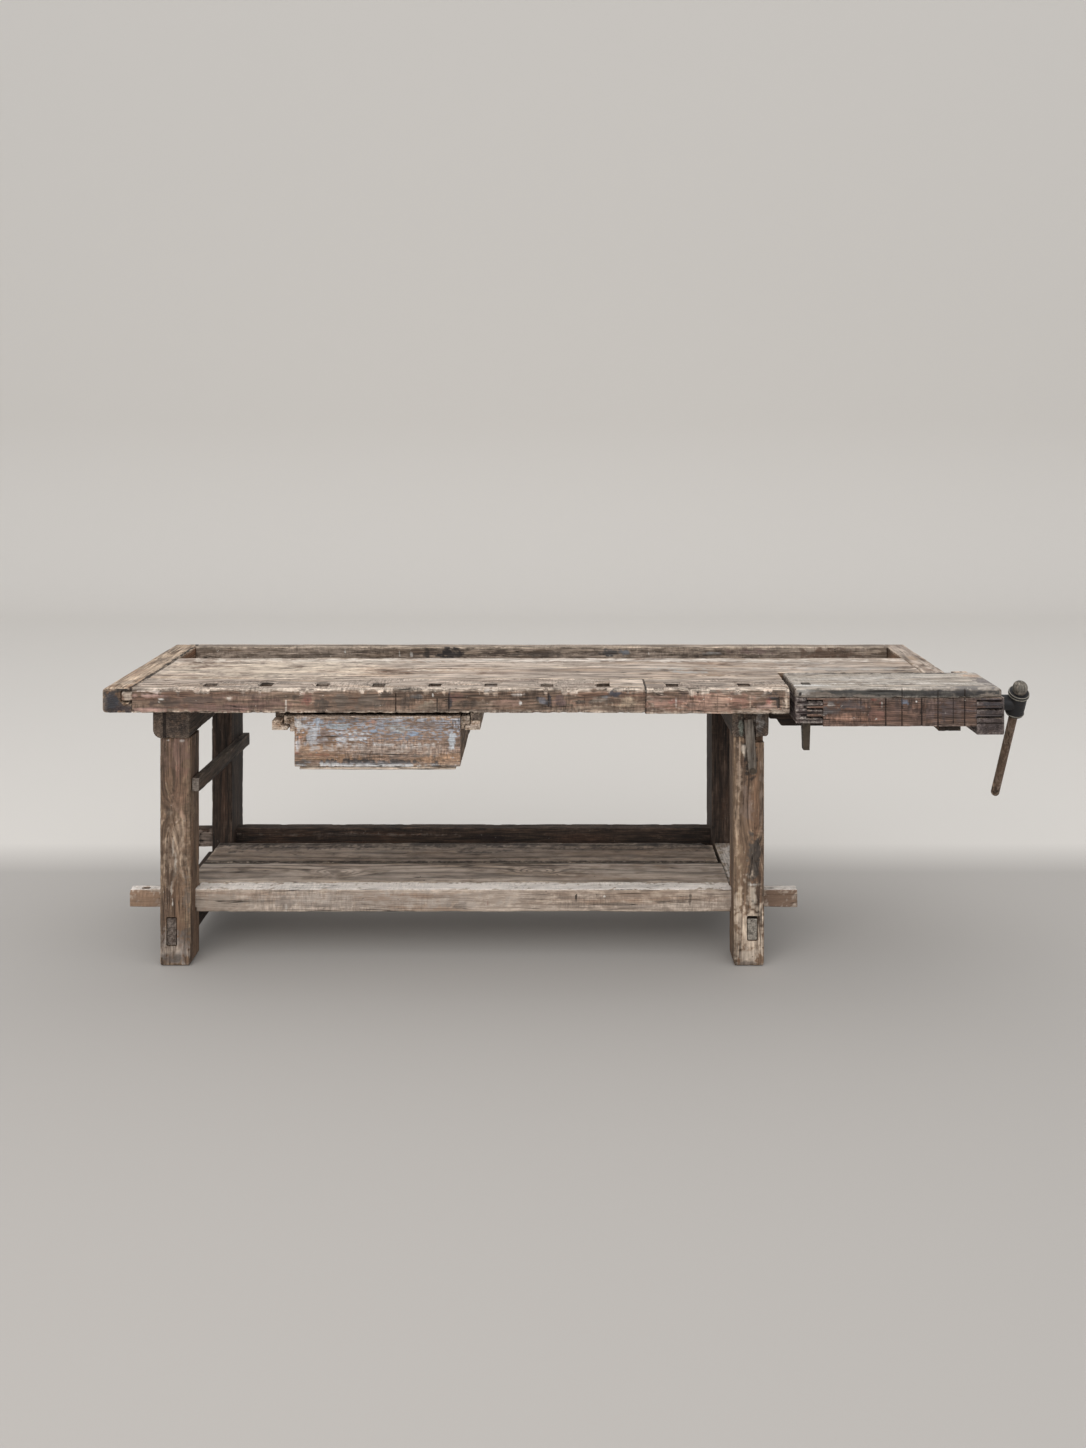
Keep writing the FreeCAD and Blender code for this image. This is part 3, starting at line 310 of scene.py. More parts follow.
def timber(name, node, axis, material, look, span=None, cell=0.006, holes=(), steps=(), sunk=None):
    # a squared timber: a rectangle whose corners are rolled to arcs of changing radius, carried
    # along its length, with noise for wear. span is its lowest and highest corner; steps change
    # the section along it; holes go through it; sunk lowers a patch of its top
    order = axisOrder[axis]
    low, high = [np.array(corner)[list(order)] for corner in (span or boxes[node])]
    seed = seedOf(name)
    size = high - low
    edge = 0.0003  # a sharp step is drawn over twice this length
    acrossKerf = (-0.0024, -0.0009, 0, 0.0009, 0.0024)
    uMarks = [hole[k][0] - low[0] for hole in holes for k in (0, 1)]
    pMarks = [hole[k][1] - low[1] for hole in holes for k in (0, 1)]
    uMarks += [step["from"] - low[0] + e for step in steps for e in (-edge, edge)]
    if axis == "x":
        uMarks += [kerf["x"] / 1000 - low[0] + e for kerf in look["kerfs"] for e in acrossKerf]
    if sunk:
        uMarks += [sunk["along"][k] - low[0] + e for k in (0, 1) for e in (-edge, edge)]
        pMarks += [sunk["across"][k] - low[1] + e for k in (0, 1) for e in (-edge, edge)]
    u = gridLines(size[0], cell, uMarks)
    pLines = gridLines(size[1], cell, pMarks)
    qLines = gridLines(size[2], cell)
    across, through = len(pLines) - 1, len(qLines) - 1
    fp = np.concatenate([pLines[:-1] / size[1], np.ones(through), pLines[::-1][:-1] / size[1],
                         np.zeros(through)])
    fq = np.concatenate([np.zeros(across), qLines[:-1] / size[2], np.ones(across),
                         qLines[::-1][:-1] / size[2]])
    side = np.repeat([0, 1, 2, 3], [across, through, across, through])
    around = len(fp)

    # limits of the section at each station
    limits = np.tile(np.array([low[1], high[1], low[2], high[2]]), (len(u), 1))
    for step in steps:
        limits[u + low[0] > step["from"]] = step["section"]
    p0, p1, q0, q1 = (limits[:, i:i + 1] for i in range(4))
    width, depth = p1 - p0, q1 - q0
    length = np.where(side % 2 == 0, width, depth)
    along = np.where(side % 2 == 0, fp, fq) * length
    toLow = along <= length - along
    away = np.minimum(along, length - along)
    corner = np.where(toLow, np.array([0, 1, 3, 0])[side], np.array([1, 2, 2, 3])[side])

    # arris radius along the timber: rubbed down unevenly, with chips knocked out
    stations = np.stack([np.tile(u / 0.05, 4), np.repeat(np.arange(4) * 5.3, len(u)),
                         np.zeros(4 * len(u))], axis=1)
    rub = smoothNoise(stations, seed + 11, 3).reshape(4, -1).T
    bite = smoothNoise(stations * np.array([3.1, 1, 1]) + 9, seed + 12, 2).reshape(4, -1).T
    radius = (np.array(look["arris"]) * (0.45 + 1.1 * rub)
              + np.array(look["chips"]) * ramp(bite, 0.58, 0.8))
    radius = np.minimum(radius, 0.45 * np.minimum(width, depth))
    r = np.take_along_axis(radius, corner, axis=1)
    turn = np.clip(1 - away / r, 0, 1) * math.pi / 4
    inSlope = np.where(away < r, r * (1 - np.sin(turn)), away)
    sink = np.where(away < r, r * (1 - np.cos(turn)), 0)
    inP = np.array([0, -1, 0, 1])[side]
    inQ = np.array([1, 0, -1, 0])[side]
    toward = np.where(toLow, -1, 1)
    towardP = np.where(side % 2 == 0, toward, 0)
    towardQ = np.where(side % 2 == 1, toward, 0)
    p = np.where(np.isin(corner, (0, 3)), p0, p1) + sink * inP - inSlope * towardP
    q = np.where(np.isin(corner, (0, 1)), q0, q1) + sink * inQ - inSlope * towardQ
    normalP = -inP * np.cos(turn) + towardP * np.sin(turn)
    normalQ = -inQ * np.cos(turn) + towardQ * np.sin(turn)

    # worn ends: the section draws in on a quarter round
    toEnd = np.stack([u, size[0] - u])
    lean = np.clip(1 - toEnd / endRadius, 0, 1)
    draw = (endRadius * (1 - np.sqrt(1 - lean ** 2))).sum(axis=0)[:, None]
    own = np.stack([np.broadcast_to(u[:, None] + low[0], p.shape), p, q], axis=2).reshape(-1, 3)
    normal = np.stack([np.zeros_like(p), normalP, normalQ], axis=2).reshape(-1, 3)
    arris = np.clip(1 - away / arrisReach, 0, 1).ravel()

    # hollows and ridges of wear, kerfs, and the dished rims of the dog holes, always inwards
    hollow = ramp(smoothNoise(own * np.array([7.0, 16.0, 16.0]), seed + 13, 2), 0.35, 0.8)
    ridge = smoothNoise(own * np.array([14.0, 70.0, 70.0]), seed + 14, 2)
    push = look["hollow"] * hollow + look["ridge"] * ridge
    facing = toWorld(normal, axis)
    kerf = kerfDepth(toWorld(own, axis), facing, look["kerfs"])
    push = push + kerf
    dirtAndShade = ramp(kerf, 0.0005, 0.0015) * 0.95
    soot = np.array(look["soot"])[np.broadcast_to(corner, p.shape)].ravel()
    sootReach = look["sootMm"] / 1000
    dirtAndShade = np.maximum(dirtAndShade, soot * ramp(-away.ravel(), -sootReach, -0.4 * sootReach))
    sootEnds = (np.array(look["sootEnds"])[:, None] * ramp(-toEnd, -0.007, -0.003)).max(axis=0)
    dirtAndShade = np.maximum(dirtAndShade, np.broadcast_to(sootEnds[:, None], p.shape).ravel())
    rim = smoothNoise(own * np.array([55.0, 90.0, 90.0]), seed + 15, 3)
    dish = np.random.default_rng(seed).uniform(0.007, 0.016, (len(holes), 2))
    for hole, (reach, depthOf) in zip(holes, dish):
        beyond = np.maximum(np.maximum(hole[0][0] - own[:, 0], own[:, 0] - hole[1][0]),
                            1.6 * np.maximum(hole[0][1] - own[:, 1], own[:, 1] - hole[1][1]))
        worn = ramp(reach * (0.4 + 1.3 * rim) - beyond, 0, 0.9 * reach) * ramp(facing[:, 2], 0.3, 0.8)
        ahead = hole[0][1] - own[:, 1]
        beside = np.maximum(hole[0][0] - own[:, 0], own[:, 0] - hole[1][0])
        lip = ramp(0.032 - ahead, 0, 0.032) * ramp(ahead, -0.012, 0) * ramp(0.011 - beside, 0, 0.013)
        push = push + np.maximum((0.002 + 0.2 * depthOf) * worn,
                                 0.0065 * lip * ramp(facing[:, 2], 0.3, 0.8))
        dirtAndShade = np.maximum(dirtAndShade, 0.22 * ramp(worn, 0.5, 1.0))
    push = push + np.broadcast_to(draw, p.shape).ravel()
    if sunk:
        inside = ((own[:, 0] > sunk["along"][0]) & (own[:, 0] < sunk["along"][1])
                  & (own[:, 1] > sunk["across"][0]) & (own[:, 1] < sunk["across"][1])
                  & (np.broadcast_to(side, p.shape).ravel() == 2))
        push = push + np.where(inside, sunk["depth"], 0)
    own = own - normal * push[:, None]

    # skin, without the quads over holes
    station = np.arange(len(u) - 1)[:, None]
    step = np.arange(around)[None, :]
    after = (step + 1) % around
    quads = np.stack(np.broadcast_arrays(station * around + step, station * around + after,
                                         (station + 1) * around + after,
                                         (station + 1) * around + step), axis=2)
    kept = np.ones(quads.shape[:2], bool)
    walls = []
    for hole in holes:
        i0, i1 = (int(np.abs(u + low[0] - hole[k][0]).argmin()) for k in (0, 1))
        k0, k1 = (int(np.abs(pLines + low[1] - hole[k][1]).argmin()) for k in (0, 1))
        topEnd = 2 * across + through
        kept[i0:i1, k0:k1] = False
        kept[i0:i1, topEnd - k1:topEnd - k0] = False
        ring = [(i, k0) for i in range(i0, i1)] + [(i1, k) for k in range(k0, k1)]
        ring += [(i, k1) for i in range(i1, i0, -1)] + [(i0, k) for k in range(k1, k0, -1)]
        ring = np.array(ring)
        walls.append((ring[:, 0] * around + topEnd - ring[:, 1], ring[:, 0] * around + ring[:, 1]))
    quads = quads[kept]

    # hole walls: rings spread evenly between the upper and the lower rim
    layers = 8
    for top, bottom in walls:
        share = np.arange(1, layers)[:, None, None] / layers
        rings = own[top] * (1 - share) + own[bottom] * share
        centre = rings.mean(axis=(0, 1))
        outward = (rings - centre) * np.array([1, 1, 0])
        outward /= np.linalg.norm(outward, axis=2, keepdims=True)
        index = len(own) + np.arange((layers - 1) * len(top)).reshape(layers - 1, -1)
        rows = np.concatenate([top[None], index, bottom[None]])
        nextTo = np.roll(rows, -1, axis=1)
        wallQuads = np.stack([rows[:-1], rows[1:], nextTo[1:], nextTo[:-1]], axis=2)
        own = np.concatenate([own, rings.reshape(-1, 3)])
        normal = np.concatenate([normal, -outward.reshape(-1, 3)])
        arris = np.concatenate([arris, np.zeros(index.size)])
        deeper = np.repeat(np.arange(1, layers) / layers, len(top))
        # hole walls darker towards the bottom: painted shade down the dog hole
        dirtAndShade = np.concatenate([dirtAndShade, 0.75 * deeper])
        quads = np.concatenate([quads, wallQuads.reshape(-1, 4)])

    # end grain: rings drawn in to the middle of each end
    tris = []
    for last, way in ((0, -1.0), (len(u) - 1, 1.0)):
        rim = last * around + np.arange(around)
        middle = own[rim].mean(axis=0)
        previous = rim
        for share in (0.93, 0.75, 0.5, 0.25):
            ring = middle + (own[rim] - middle) * share
            rough = smoothNoise(ring * 45, seed + 17, 3) * endRough
            ring[:, 0] -= way * rough
            index = len(own) + np.arange(around)
            own = np.concatenate([own, ring])
            normal = np.concatenate([normal, np.tile([way, 0, 0], (around, 1))])
            arris = np.concatenate([arris, np.full(around, 0.4 * (share > 0.9))])
            dirtAndShade = np.concatenate([dirtAndShade, np.zeros(around)])
            band = np.stack([previous, index, np.roll(index, -1), np.roll(previous, -1)], axis=1)
            quads = np.concatenate([quads, band if way > 0 else band[:, ::-1]])
            previous = index
        own = np.concatenate([own, middle[None]])
        normal = np.concatenate([normal, [[way, 0, 0]]])
        arris = np.concatenate([arris, [0.0]])
        dirtAndShade = np.concatenate([dirtAndShade, [0.0]])
        fan = np.stack([previous, np.full(around, len(own) - 1), np.roll(previous, -1)], axis=1)
        tris.append(fan if way > 0 else fan[:, ::-1])
    world = toWorld(own, axis)
    mesh = closedMesh(name, world, quads, np.concatenate(tris))
    dress(mesh, world, own, toWorld(normal, axis), arris, look, seed, dirtAndShade)
    place(mesh, name, node, material)


def wornCopy(name, node, axis, material, look, voxel=0.003):
    # a jointed block: the node's own shape in even cells, its arrises eased by the cell size,
    # then pushed in along its normals by noise, more at the arrises
    mesh = frame["nodes"][node].data.copy()
    seed = seedOf(name)
    holder = bpy.data.objects.new(name + "Work", mesh)
    bpy.context.scene.collection.objects.link(holder)
    weld = holder.modifiers.new("weld", "WELD")
    weld.merge_threshold = 0.00001
    remesh = holder.modifiers.new("cells", "REMESH")
    remesh.mode = "VOXEL"
    remesh.voxel_size = voxel
    wrap = holder.modifiers.new("wrap", "SHRINKWRAP")
    wrap.target = frame["nodes"][node]
    wrap.wrap_method = "NEAREST_SURFACEPOINT"
    graph = bpy.context.evaluated_depsgraph_get()
    even = bpy.data.meshes.new_from_object(holder.evaluated_get(graph))
    bpy.data.objects.remove(holder)
    bpy.data.meshes.remove(mesh)
    count = len(even.vertices)
    world = np.empty(count * 3, np.float32)
    normal = np.empty(count * 3, np.float32)
    even.vertices.foreach_get("co", world)
    even.vertex_normals.foreach_get("vector", normal)
    world = world.reshape(-1, 3).astype(float)
    normal = normal.reshape(-1, 3).astype(float)
    low, high = boxes[node]
    gaps = np.sort(np.concatenate([world - low, high - world], axis=1), axis=1)
    arris = np.clip(1 - gaps[:, 1] / arrisReach, 0, 1)
    own = world[:, list(axisOrder[axis])]
    chips = ramp(smoothNoise(own * np.array([30.0, 40.0, 40.0]), seed + 21, 2), 0.6, 0.8)
    push = look["ridge"] * smoothNoise(own * np.array([14.0, 60.0, 60.0]), seed + 22, 3)
    push += look["hollow"] * ramp(smoothNoise(own * 14, seed + 23, 2), 0.35, 0.8)
    push += arris ** 2 * (look["ease"] + look["chip"] * chips)
    kerf = kerfDepth(world, normal, look["kerfs"])
    world = roundOff(world - normal * (push + kerf)[:, None], boxes[node], look["rounds"])
    even.vertices.foreach_set("co", world.astype(np.float32).ravel())
    even.update()
    even.shade_smooth()
    dress(even, world, own, normal, arris, look, seed, ramp(kerf, 0.0004, 0.0014) * 0.95)
    place(even, name, node, material)


def agedTimber(name, finish):
    # old hand-planed timber: long fibres, growth lines, drying checks, dirt in the pores, greyed
    # where it is scrubbed and dark where it was oiled or painted. The fibres are drawn about
    # three times too coarse, because real ones of 0.5 mm would not show at this distance
    material = bpy.data.materials.new(name)
    material.use_nodes = True
    tree = material.node_tree
    shader = tree.nodes["Principled BSDF"]
    grain = add(tree, "Attribute", {"attribute_name": "grainAt"}).outputs["Vector"]
    wearNode = add(tree, "Attribute", {"attribute_name": "wearAt"})
    wear = add(tree, "SeparateColor", {}, {"Color": wearNode.outputs["Color"]})
    arris, grime, bleach = (wear.outputs[i] for i in range(3))
    coat = wearNode.outputs["Alpha"]
    marks = add(tree, "Attribute", {"attribute_name": "markAt"})

    def field(alongMm, acrossMm, detail=3.0, rough=0.55, distortion=0.0):
        at = add(tree, "VectorMath", {"operation": "MULTIPLY",
                                      1: (1000 / alongMm, 1000 / acrossMm, 1000 / acrossMm)},
                 {0: grain})
        return add(tree, "TexNoise", {"Scale": 1.0, "Detail": detail, "Roughness": rough,
                                      "Distortion": distortion},
                   {"Vector": at.outputs[0]}).outputs[0]

    def step(value, low, high, to=1.0, start=0.0):
        return add(tree, "MapRange", {"From Min": low, "From Max": high, "To Max": to,
                                      "To Min": start}, {"Value": value}).outputs[0]

    def maths(operation, *terms):
        settings = {"operation": operation}
        settings.update({i: t for i, t in enumerate(terms) if isinstance(t, (int, float))})
        links = {i: t for i, t in enumerate(terms) if not isinstance(t, (int, float))}
        return add(tree, "Math", settings, links).outputs[0]

    def over(base, colour, factor, blend="MIX"):
        settings = {"data_type": "RGBA", "blend_type": blend}
        links = {}
        for socket, value in ((0, factor), (6, base), (7, colour)):
            (settings if isinstance(value, (tuple, float)) else links)[socket] = value
        return add(tree, "Mix", settings, links).outputs[2]

    patch = field(*finish["patchMm"], 3.0, 0.6)
    other = field(0.63 * finish["patchMm"][0], 0.65 * finish["patchMm"][1], 3.0, 0.6)
    streak = field(*finish["streakMm"], 4.0, 0.6, 0.35)
    fibre = field(*finish["fibreMm"], 4.0, 0.65)
    mottle = field(*finish["mottleMm"], 5.0, 0.62)
    flake = field(*finish["flakeMm"], 3.0, 0.6)
    ring = add(tree, "Attribute", {"attribute_name": "ringAt"}).outputs["Fac"]
    turned = maths("MULTIPLY_ADD", streak, 0.7, ring)
    wave = maths("SINE", maths("MULTIPLY", turned, 2 * math.pi))
    lines = maths("MULTIPLY", step(wave, -0.1, 0.95), step(patch, 0.34, 0.56, 1.0, 0.3))
    checkField = field(430.0, finish["checkMm"], 2.0, 0.5, 0.25)
    checkLine = step(maths("ABSOLUTE", maths("SUBTRACT", checkField, 0.5)), 0.0, 0.014, 0.0, 1.0)
    checks = maths("MULTIPLY", checkLine, step(field(200.0, 36.0, 2.0), 0.49, 0.58))

    colour = over(linear(finish["wood"]), linear(finish["late"]), step(patch, 0.44, 0.62, 0.85))
    colour = over(colour, linear(finish["warm"]), step(other, 0.5, 0.66, finish["warmth"]))
    pale = over(linear(finish["bleached"]), linear(finish["bleachedLate"]),
                step(other, 0.46, 0.64, 0.75))
    pale = over(pale, linear(finish["bleachedWarm"]), step(patch, 0.5, 0.66, 0.6))
    bleachEdge = maths("ADD", bleach, step(mottle, 0.35, 0.65, 0.22, -0.22))
    bleachEdge = maths("ADD", bleachEdge, step(streak, 0.35, 0.65, 0.16, -0.16))
    colour = over(colour, pale, step(bleachEdge, 0.3, 0.62))
    coatEdge = maths("ADD", coat, step(streak, 0.34, 0.66, 0.32, -0.32))
    coatEdge = maths("ADD", coatEdge, step(mottle, 0.36, 0.64, 0.26, -0.26))
    coatEdge = maths("SUBTRACT", coatEdge, step(arris, 0.0, 1.0, 0.3))
    coatMask = step(coatEdge, finish["coatEdge"], finish["coatEdge"] + 0.2)
    coatTone = over(linear(finish["coat"]), linear(finish["coatSoft"]), step(other, 0.42, 0.6))
    colour = over(colour, coatTone, coatMask)
    # the grime colour, laid over the grime mask and the painted shade on faces that look down
    grimeEdge = maths("MULTIPLY", grime, step(mottle, 0.36, 0.66, 1.5))
    colour = over(colour, linear(finish["grime"]), maths("MINIMUM", grimeEdge, 0.9))
    rubbed = maths("MULTIPLY", arris, step(flake, 0.36, 0.6))
    colour = over(colour, linear(finish["rubbed"]), maths("MULTIPLY", rubbed, finish["rub"]))
    low, high = finish["contrast"]
    dim, bright = finish["mottled"]
    shade = maths("MULTIPLY", step(streak, 0.34, 0.66, high, low),
                  step(fibre, 0.34, 0.66, high, low))
    shade = maths("MULTIPLY", shade, step(mottle, 0.34, 0.66, bright, dim))
    shade = maths("MULTIPLY", shade, step(lines, 0.0, 1.0, finish["lateShade"], 1.06))
    scuffs = step(field(5.5, 24.0, 4.0, 0.65), 0.36, 0.64, 0.45, -0.45)
    scuffs = maths("MULTIPLY", scuffs, step(field(150.0, 60.0, 2.0), 0.42, 0.6, finish["scuff"]))
    shade = maths("MULTIPLY", shade, maths("ADD", scuffs, 1.0))
    shadeColour = add(tree, "CombineColor", {}, {i: shade for i in range(3)}).outputs[0]
    colour = over(colour, shadeColour, 1.0, "MULTIPLY")
    markEdge = maths("ADD", marks.outputs["Alpha"], step(mottle, 0.36, 0.64, 0.2, -0.2))
    markEdge = maths("ADD", markEdge, step(streak, 0.34, 0.66, 0.2, -0.2))
    markMask = maths("MULTIPLY", step(markEdge, 0.15, 0.8), step(marks.outputs["Alpha"], 0.02, 0.3))
    markTone = over(marks.outputs["Color"], shadeColour, 0.6, "MULTIPLY")
    colour = over(colour, markTone, maths("MULTIPLY", markMask, 0.92))
    if finish["dots"]:
        dots = maths("MULTIPLY", step(flake, 0.66, 0.71), step(mottle, 0.5, 0.6, finish["dots"]))
        colour = over(colour, linear(finish["flecks"]), dots)
    pits = step(flake, 0.31, 0.26, 0.85)
    colour = over(colour, linear(finish["pits"]), pits)
    colour = over(colour, linear(finish["checks"]), step(checks, 0.0, 1.0, 0.88))
    tree.links.new(colour, shader.inputs["Base Color"])
    tree.links.new(step(mottle, 0.3, 0.7, finish["rough"] + 0.1, finish["rough"] - 0.08),
                   shader.inputs["Roughness"])
    shader.inputs["Specular IOR Level"].default_value = 0.35

    height = maths("MULTIPLY_ADD", streak, 0.8, maths("MULTIPLY", fibre, 0.5))
    height = maths("MULTIPLY_ADD", mottle, 0.9, height)
    height = maths("MULTIPLY_ADD", lines, -0.16, height)
    height = maths("MULTIPLY_ADD", checks, -0.9, height)
    height = maths("MULTIPLY_ADD", pits, -0.5, height)
    bump = add(tree, "Bump", {"Strength": finish["relief"], "Distance": 0.003}, {"Height": height})
    tree.links.new(bump.outputs[0], shader.inputs["Normal"])
    return material


# Finishes. The Mm pairs are the length and the width of one streak, fibre or growth figure.
plainOak = {
    "wood": "#7A6350", "late": "#574436", "warm": "#8A6146", "warmth": 0.6,
    "bleached": "#C6B6A8", "bleachedLate": "#9B8A7E", "bleachedWarm": "#BC9F86",
    "coat": "#6E5246", "coatSoft": "#806A5B", "coatEdge": 0.5,
    "grime": "#3A302A", "rubbed": "#C9B8A4", "rub": 0.7, "flecks": "#D9D2C6", "dots": 0.6,
    "patchMm": (420.0, 44.0), "streakMm": (130.0, 9.0), "fibreMm": (52.0, 4.2),
    "mottleMm": (30.0, 15.0), "flakeMm": (11.0, 7.0), "lateShade": 0.7, "checkMm": 17.0,
    "scuff": 0.5, "pits": "#241B16", "checks": "#17110D", "contrast": (0.66, 1.3),
    "mottled": (0.76, 1.22), "rough": 0.8, "relief": 0.8}
# boards that are seen along their face: the same patterns, drawn wider across the grain to show
flatSeen = {"patchMm": (460.0, 90.0), "streakMm": (150.0, 24.0), "fibreMm": (70.0, 10.0),
            "mottleMm": (46.0, 34.0), "flakeMm": (14.0, 15.0), "checkMm": 40.0, "scuff": 0.0}
# one finish for each kind of timber, named for the wood and what has happened to it; the rear oak also
# carries painted shade
materials = {
    "scrubbedTop": agedTimber("scrubbedPlanedBeech", dict(plainOak, dots=0.2, **flatSeen)),
    "stripWood": agedTimber("oiledChippedBeech", dict(
        plainOak, wood="#8B7565", late="#5F4D41", warm="#936D5A", coat="#79604F",
        coatSoft="#675B50", grime="#2F2722", rubbed="#D6C8B8", dots=0.9, scuff=1.0,
        contrast=(0.54, 1.44), mottled=(0.62, 1.38))),
    "capWood": agedTimber("sunBrownedOak", dict(
        plainOak, bleached="#CBB49D", bleachedLate="#9A846F", bleachedWarm="#BC997B", dots=0.2)),
    "railWood": agedTimber("dampGreyedPine", dict(
        plainOak, wood="#7D6E61", late="#5A4E46", warm="#85705E", bleached="#AE9E90",
        bleachedLate="#857669", bleachedWarm="#9C8975")),
    "legWood": agedTimber("darkHewnOak", dict(
        plainOak, wood="#7C6552", late="#554337", warm="#876750", bleached="#A08B71",
        bleachedLate="#6E5A48", rubbed="#A8947C", rub=0.4, dots=0.3, checkMm=14.0)),
    "bearerWood": agedTimber("sootyHewnOak", dict(
        plainOak, wood="#56493F", late="#372E28", warm="#5F4B3B", bleached="#6F6357",
        bleachedLate="#4A4038", bleachedWarm="#6B5744", rubbed="#7C6F62", rub=0.4, dots=0.15,
        contrast=(0.55, 1.42))),
    # the legs' hewn oak painted far darker for the rear legs, cross rails, rear stretcher and vise
    # guides: painted shade where they stand in the shadow of the top
    "rearWood": agedTimber("shadedHewnOak", dict(
        plainOak, wood="#35281F", late="#1F1712", warm="#452F22", bleached="#47392F",
        bleachedLate="#30251F", bleachedWarm="#4E3B2D", rubbed="#66564A", rub=0.3, dots=0.1,
        contrast=(0.5, 1.5))),
    "stretcherWood": agedTimber("paleSawnPine", dict(
        plainOak, wood="#A39487", late="#85766A", warm="#A08672", bleached="#BBAC9F",
        bleachedLate="#A09184", bleachedWarm="#B39F8C", dots=0.15, streakMm=(170.0, 8.0),
        contrast=(0.86, 1.14), mottled=(0.86, 1.14), lateShade=0.9, scuff=0.5, rub=0.35)),
    "shelfWood": agedTimber("bleachedSawnPine", dict(
        plainOak, wood="#9A8A7C", late="#7B6B5E", warm="#957E6A", bleached="#BDAEA1",
        bleachedLate="#9C8C7F", bleachedWarm="#AF9A86", dots=0.1, contrast=(0.82, 1.16),
        mottled=(0.88, 1.12), lateShade=0.45, **flatSeen)),
    "drawerWood": agedTimber("bareDovetailPine", dict(
        plainOak, wood="#9A8069", late="#735C48", warm="#98704C", dots=0.2)),
    "drawerPaint": agedTimber("wornMilkPaint", dict(
        plainOak, wood="#A08878", late="#7F6A5C", warm="#A5805F", coat="#7F8189",
        coatSoft="#A1A2A9", coatEdge=0.46, grime="#4A4644", streakMm=(34.0, 5.0),
        fibreMm=(16.0, 3.2), mottleMm=(10.0, 7.0), flakeMm=(7.0, 5.0), dots=0.7, scuff=1.2,
        contrast=(0.6, 1.36))),
    "viseTop": agedTimber("chalkyScrubbedHornbeam", dict(
        plainOak, wood="#8C8177", late="#675C54", warm="#8A7562", bleached="#C9C0B6",
        bleachedLate="#A0968C", bleachedWarm="#BFAE9C", coat="#4B4A47", coatSoft="#5F5C57",
        rubbed="#A39A90", rub=0.5)),
    "viseWood": agedTimber("darkenedHornbeam", dict(
        plainOak, wood="#775F52", late="#4E3E37", warm="#82604E", coat="#514546",
        coatSoft="#685A56", grime="#2C2526", rubbed="#9A897E", rub=0.5, scuff=1.2,
        contrast=(0.58, 1.4), mottled=(0.66, 1.32))),
    "viseEnd": agedTimber("purpledEndGrain", dict(
        plainOak, wood="#5F5351", late="#3E3535", warm="#6D5953", warmth=0.4, coat="#4A4142",
        coatSoft="#6F6462", bleached="#A89D95", bleachedLate="#857A74", rubbed="#9A8E88")),
    "handleWood": agedTimber("handledAsh", dict(
        plainOak, wood="#645142", late="#44362C", warm="#6F5848", bleached="#7F6C5C",
        streakMm=(110.0, 5.0), fibreMm=(60.0, 3.0), contrast=(0.8, 1.2), mottled=(0.9, 1.1),
        scuff=0.0, rubbed="#8F7A64", dots=0.0)),
    "knobWood": agedTimber("oldTurnedBox", dict(
        plainOak, wood="#77726A", late="#54514B", warm="#7D756A", bleached="#949087",
        bleachedLate="#78746C", bleachedWarm="#888178", dots=0.0, contrast=(0.6, 1.3), scuff=0.4))}


def blackenedIron(name, finish):
    # forged iron gone blue-black with oil, brown rust in its low places, hammered flat spots
    material = bpy.data.materials.new(name)
    material.use_nodes = True
    tree = material.node_tree
    shader = tree.nodes["Principled BSDF"]
    at = add(tree, "TexCoord").outputs["Object"]
    hammered = add(tree, "TexNoise", {"Scale": 1000 / finish["hammerMm"], "Detail": 3.0},
                   {"Vector": at}).outputs[0]
    scale = add(tree, "TexNoise", {"Scale": 1000 / finish["rustMm"], "Detail": 6.0,
                                   "Roughness": 0.7}, {"Vector": at}).outputs[0]
    rust = add(tree, "MapRange", {"From Min": 0.46, "From Max": 0.62}, {"Value": scale}).outputs[0]
    colour = add(tree, "Mix", {"data_type": "RGBA", 6: linear(finish["iron"]),
                               7: linear(finish["rust"])}, {0: rust}).outputs[2]
    tree.links.new(colour, shader.inputs["Base Color"])
    metal = add(tree, "MapRange", {"To Min": 0.7, "To Max": 0.05}, {"Value": rust}).outputs[0]
    tree.links.new(metal, shader.inputs["Metallic"])
    rough = add(tree, "MapRange", {"To Min": 0.48, "To Max": 0.85}, {"Value": rust}).outputs[0]
    tree.links.new(rough, shader.inputs["Roughness"])
    bump = add(tree, "Bump", {"Strength": 0.5, "Distance": 0.0008}, {"Height": hammered})
    tree.links.new(bump.outputs[0], shader.inputs["Normal"])
    return material


iron = blackenedIron(
    "forgedBlackIron", {"iron": "#333335", "rust": "#262322", "hammerMm": 9.0, "rustMm": 14.0})
dogIron = blackenedIron(
    "dulledGreyIron", {"iron": "#4A4137", "rust": "#32291F", "hammerMm": 9.0, "rustMm": 12.0})
# bright iron for the hub rims: painted highlight, partly iron rubbed bright
rimHighlightIron = blackenedIron(
    "handRubbedIron", {"iron": "#9C978C", "rust": "#6E675D", "hammerMm": 6.0, "rustMm": 9.0})
print("finishes made")


def look(**changes):
    # the common wear of a timber, with what differs on this one
    plain = {"arris": (0.003, 0.003, 0.003, 0.003), "chips": (0.004, 0.004, 0.004, 0.004),
             "bleachTop": 0.5, "bleachSide": 0.1, "coatFront": 0.0, "grime": 0.3,
             "hollow": 0.0012, "ridge": 0.0008, "ease": 0.0006, "chip": 0.0025, "ringMm": 6.0,
             "soot": (0, 0, 0, 0), "sootEnds": (0, 0), "sootMm": 5.5, "marks": (), "kerfs": (),
             "knots": (), "rounds": ()}
    return dict(plain, **changes)


def dogHoles(side):
    # the dog holes of one strip, a little wider than their stated openings
    grow = np.array([[-0.001, -0.001], [0.001, 0.001]])
    return [box[:, :2] + grow for name, box in openings.items()
            if name.startswith("dog_hole_" + side)]


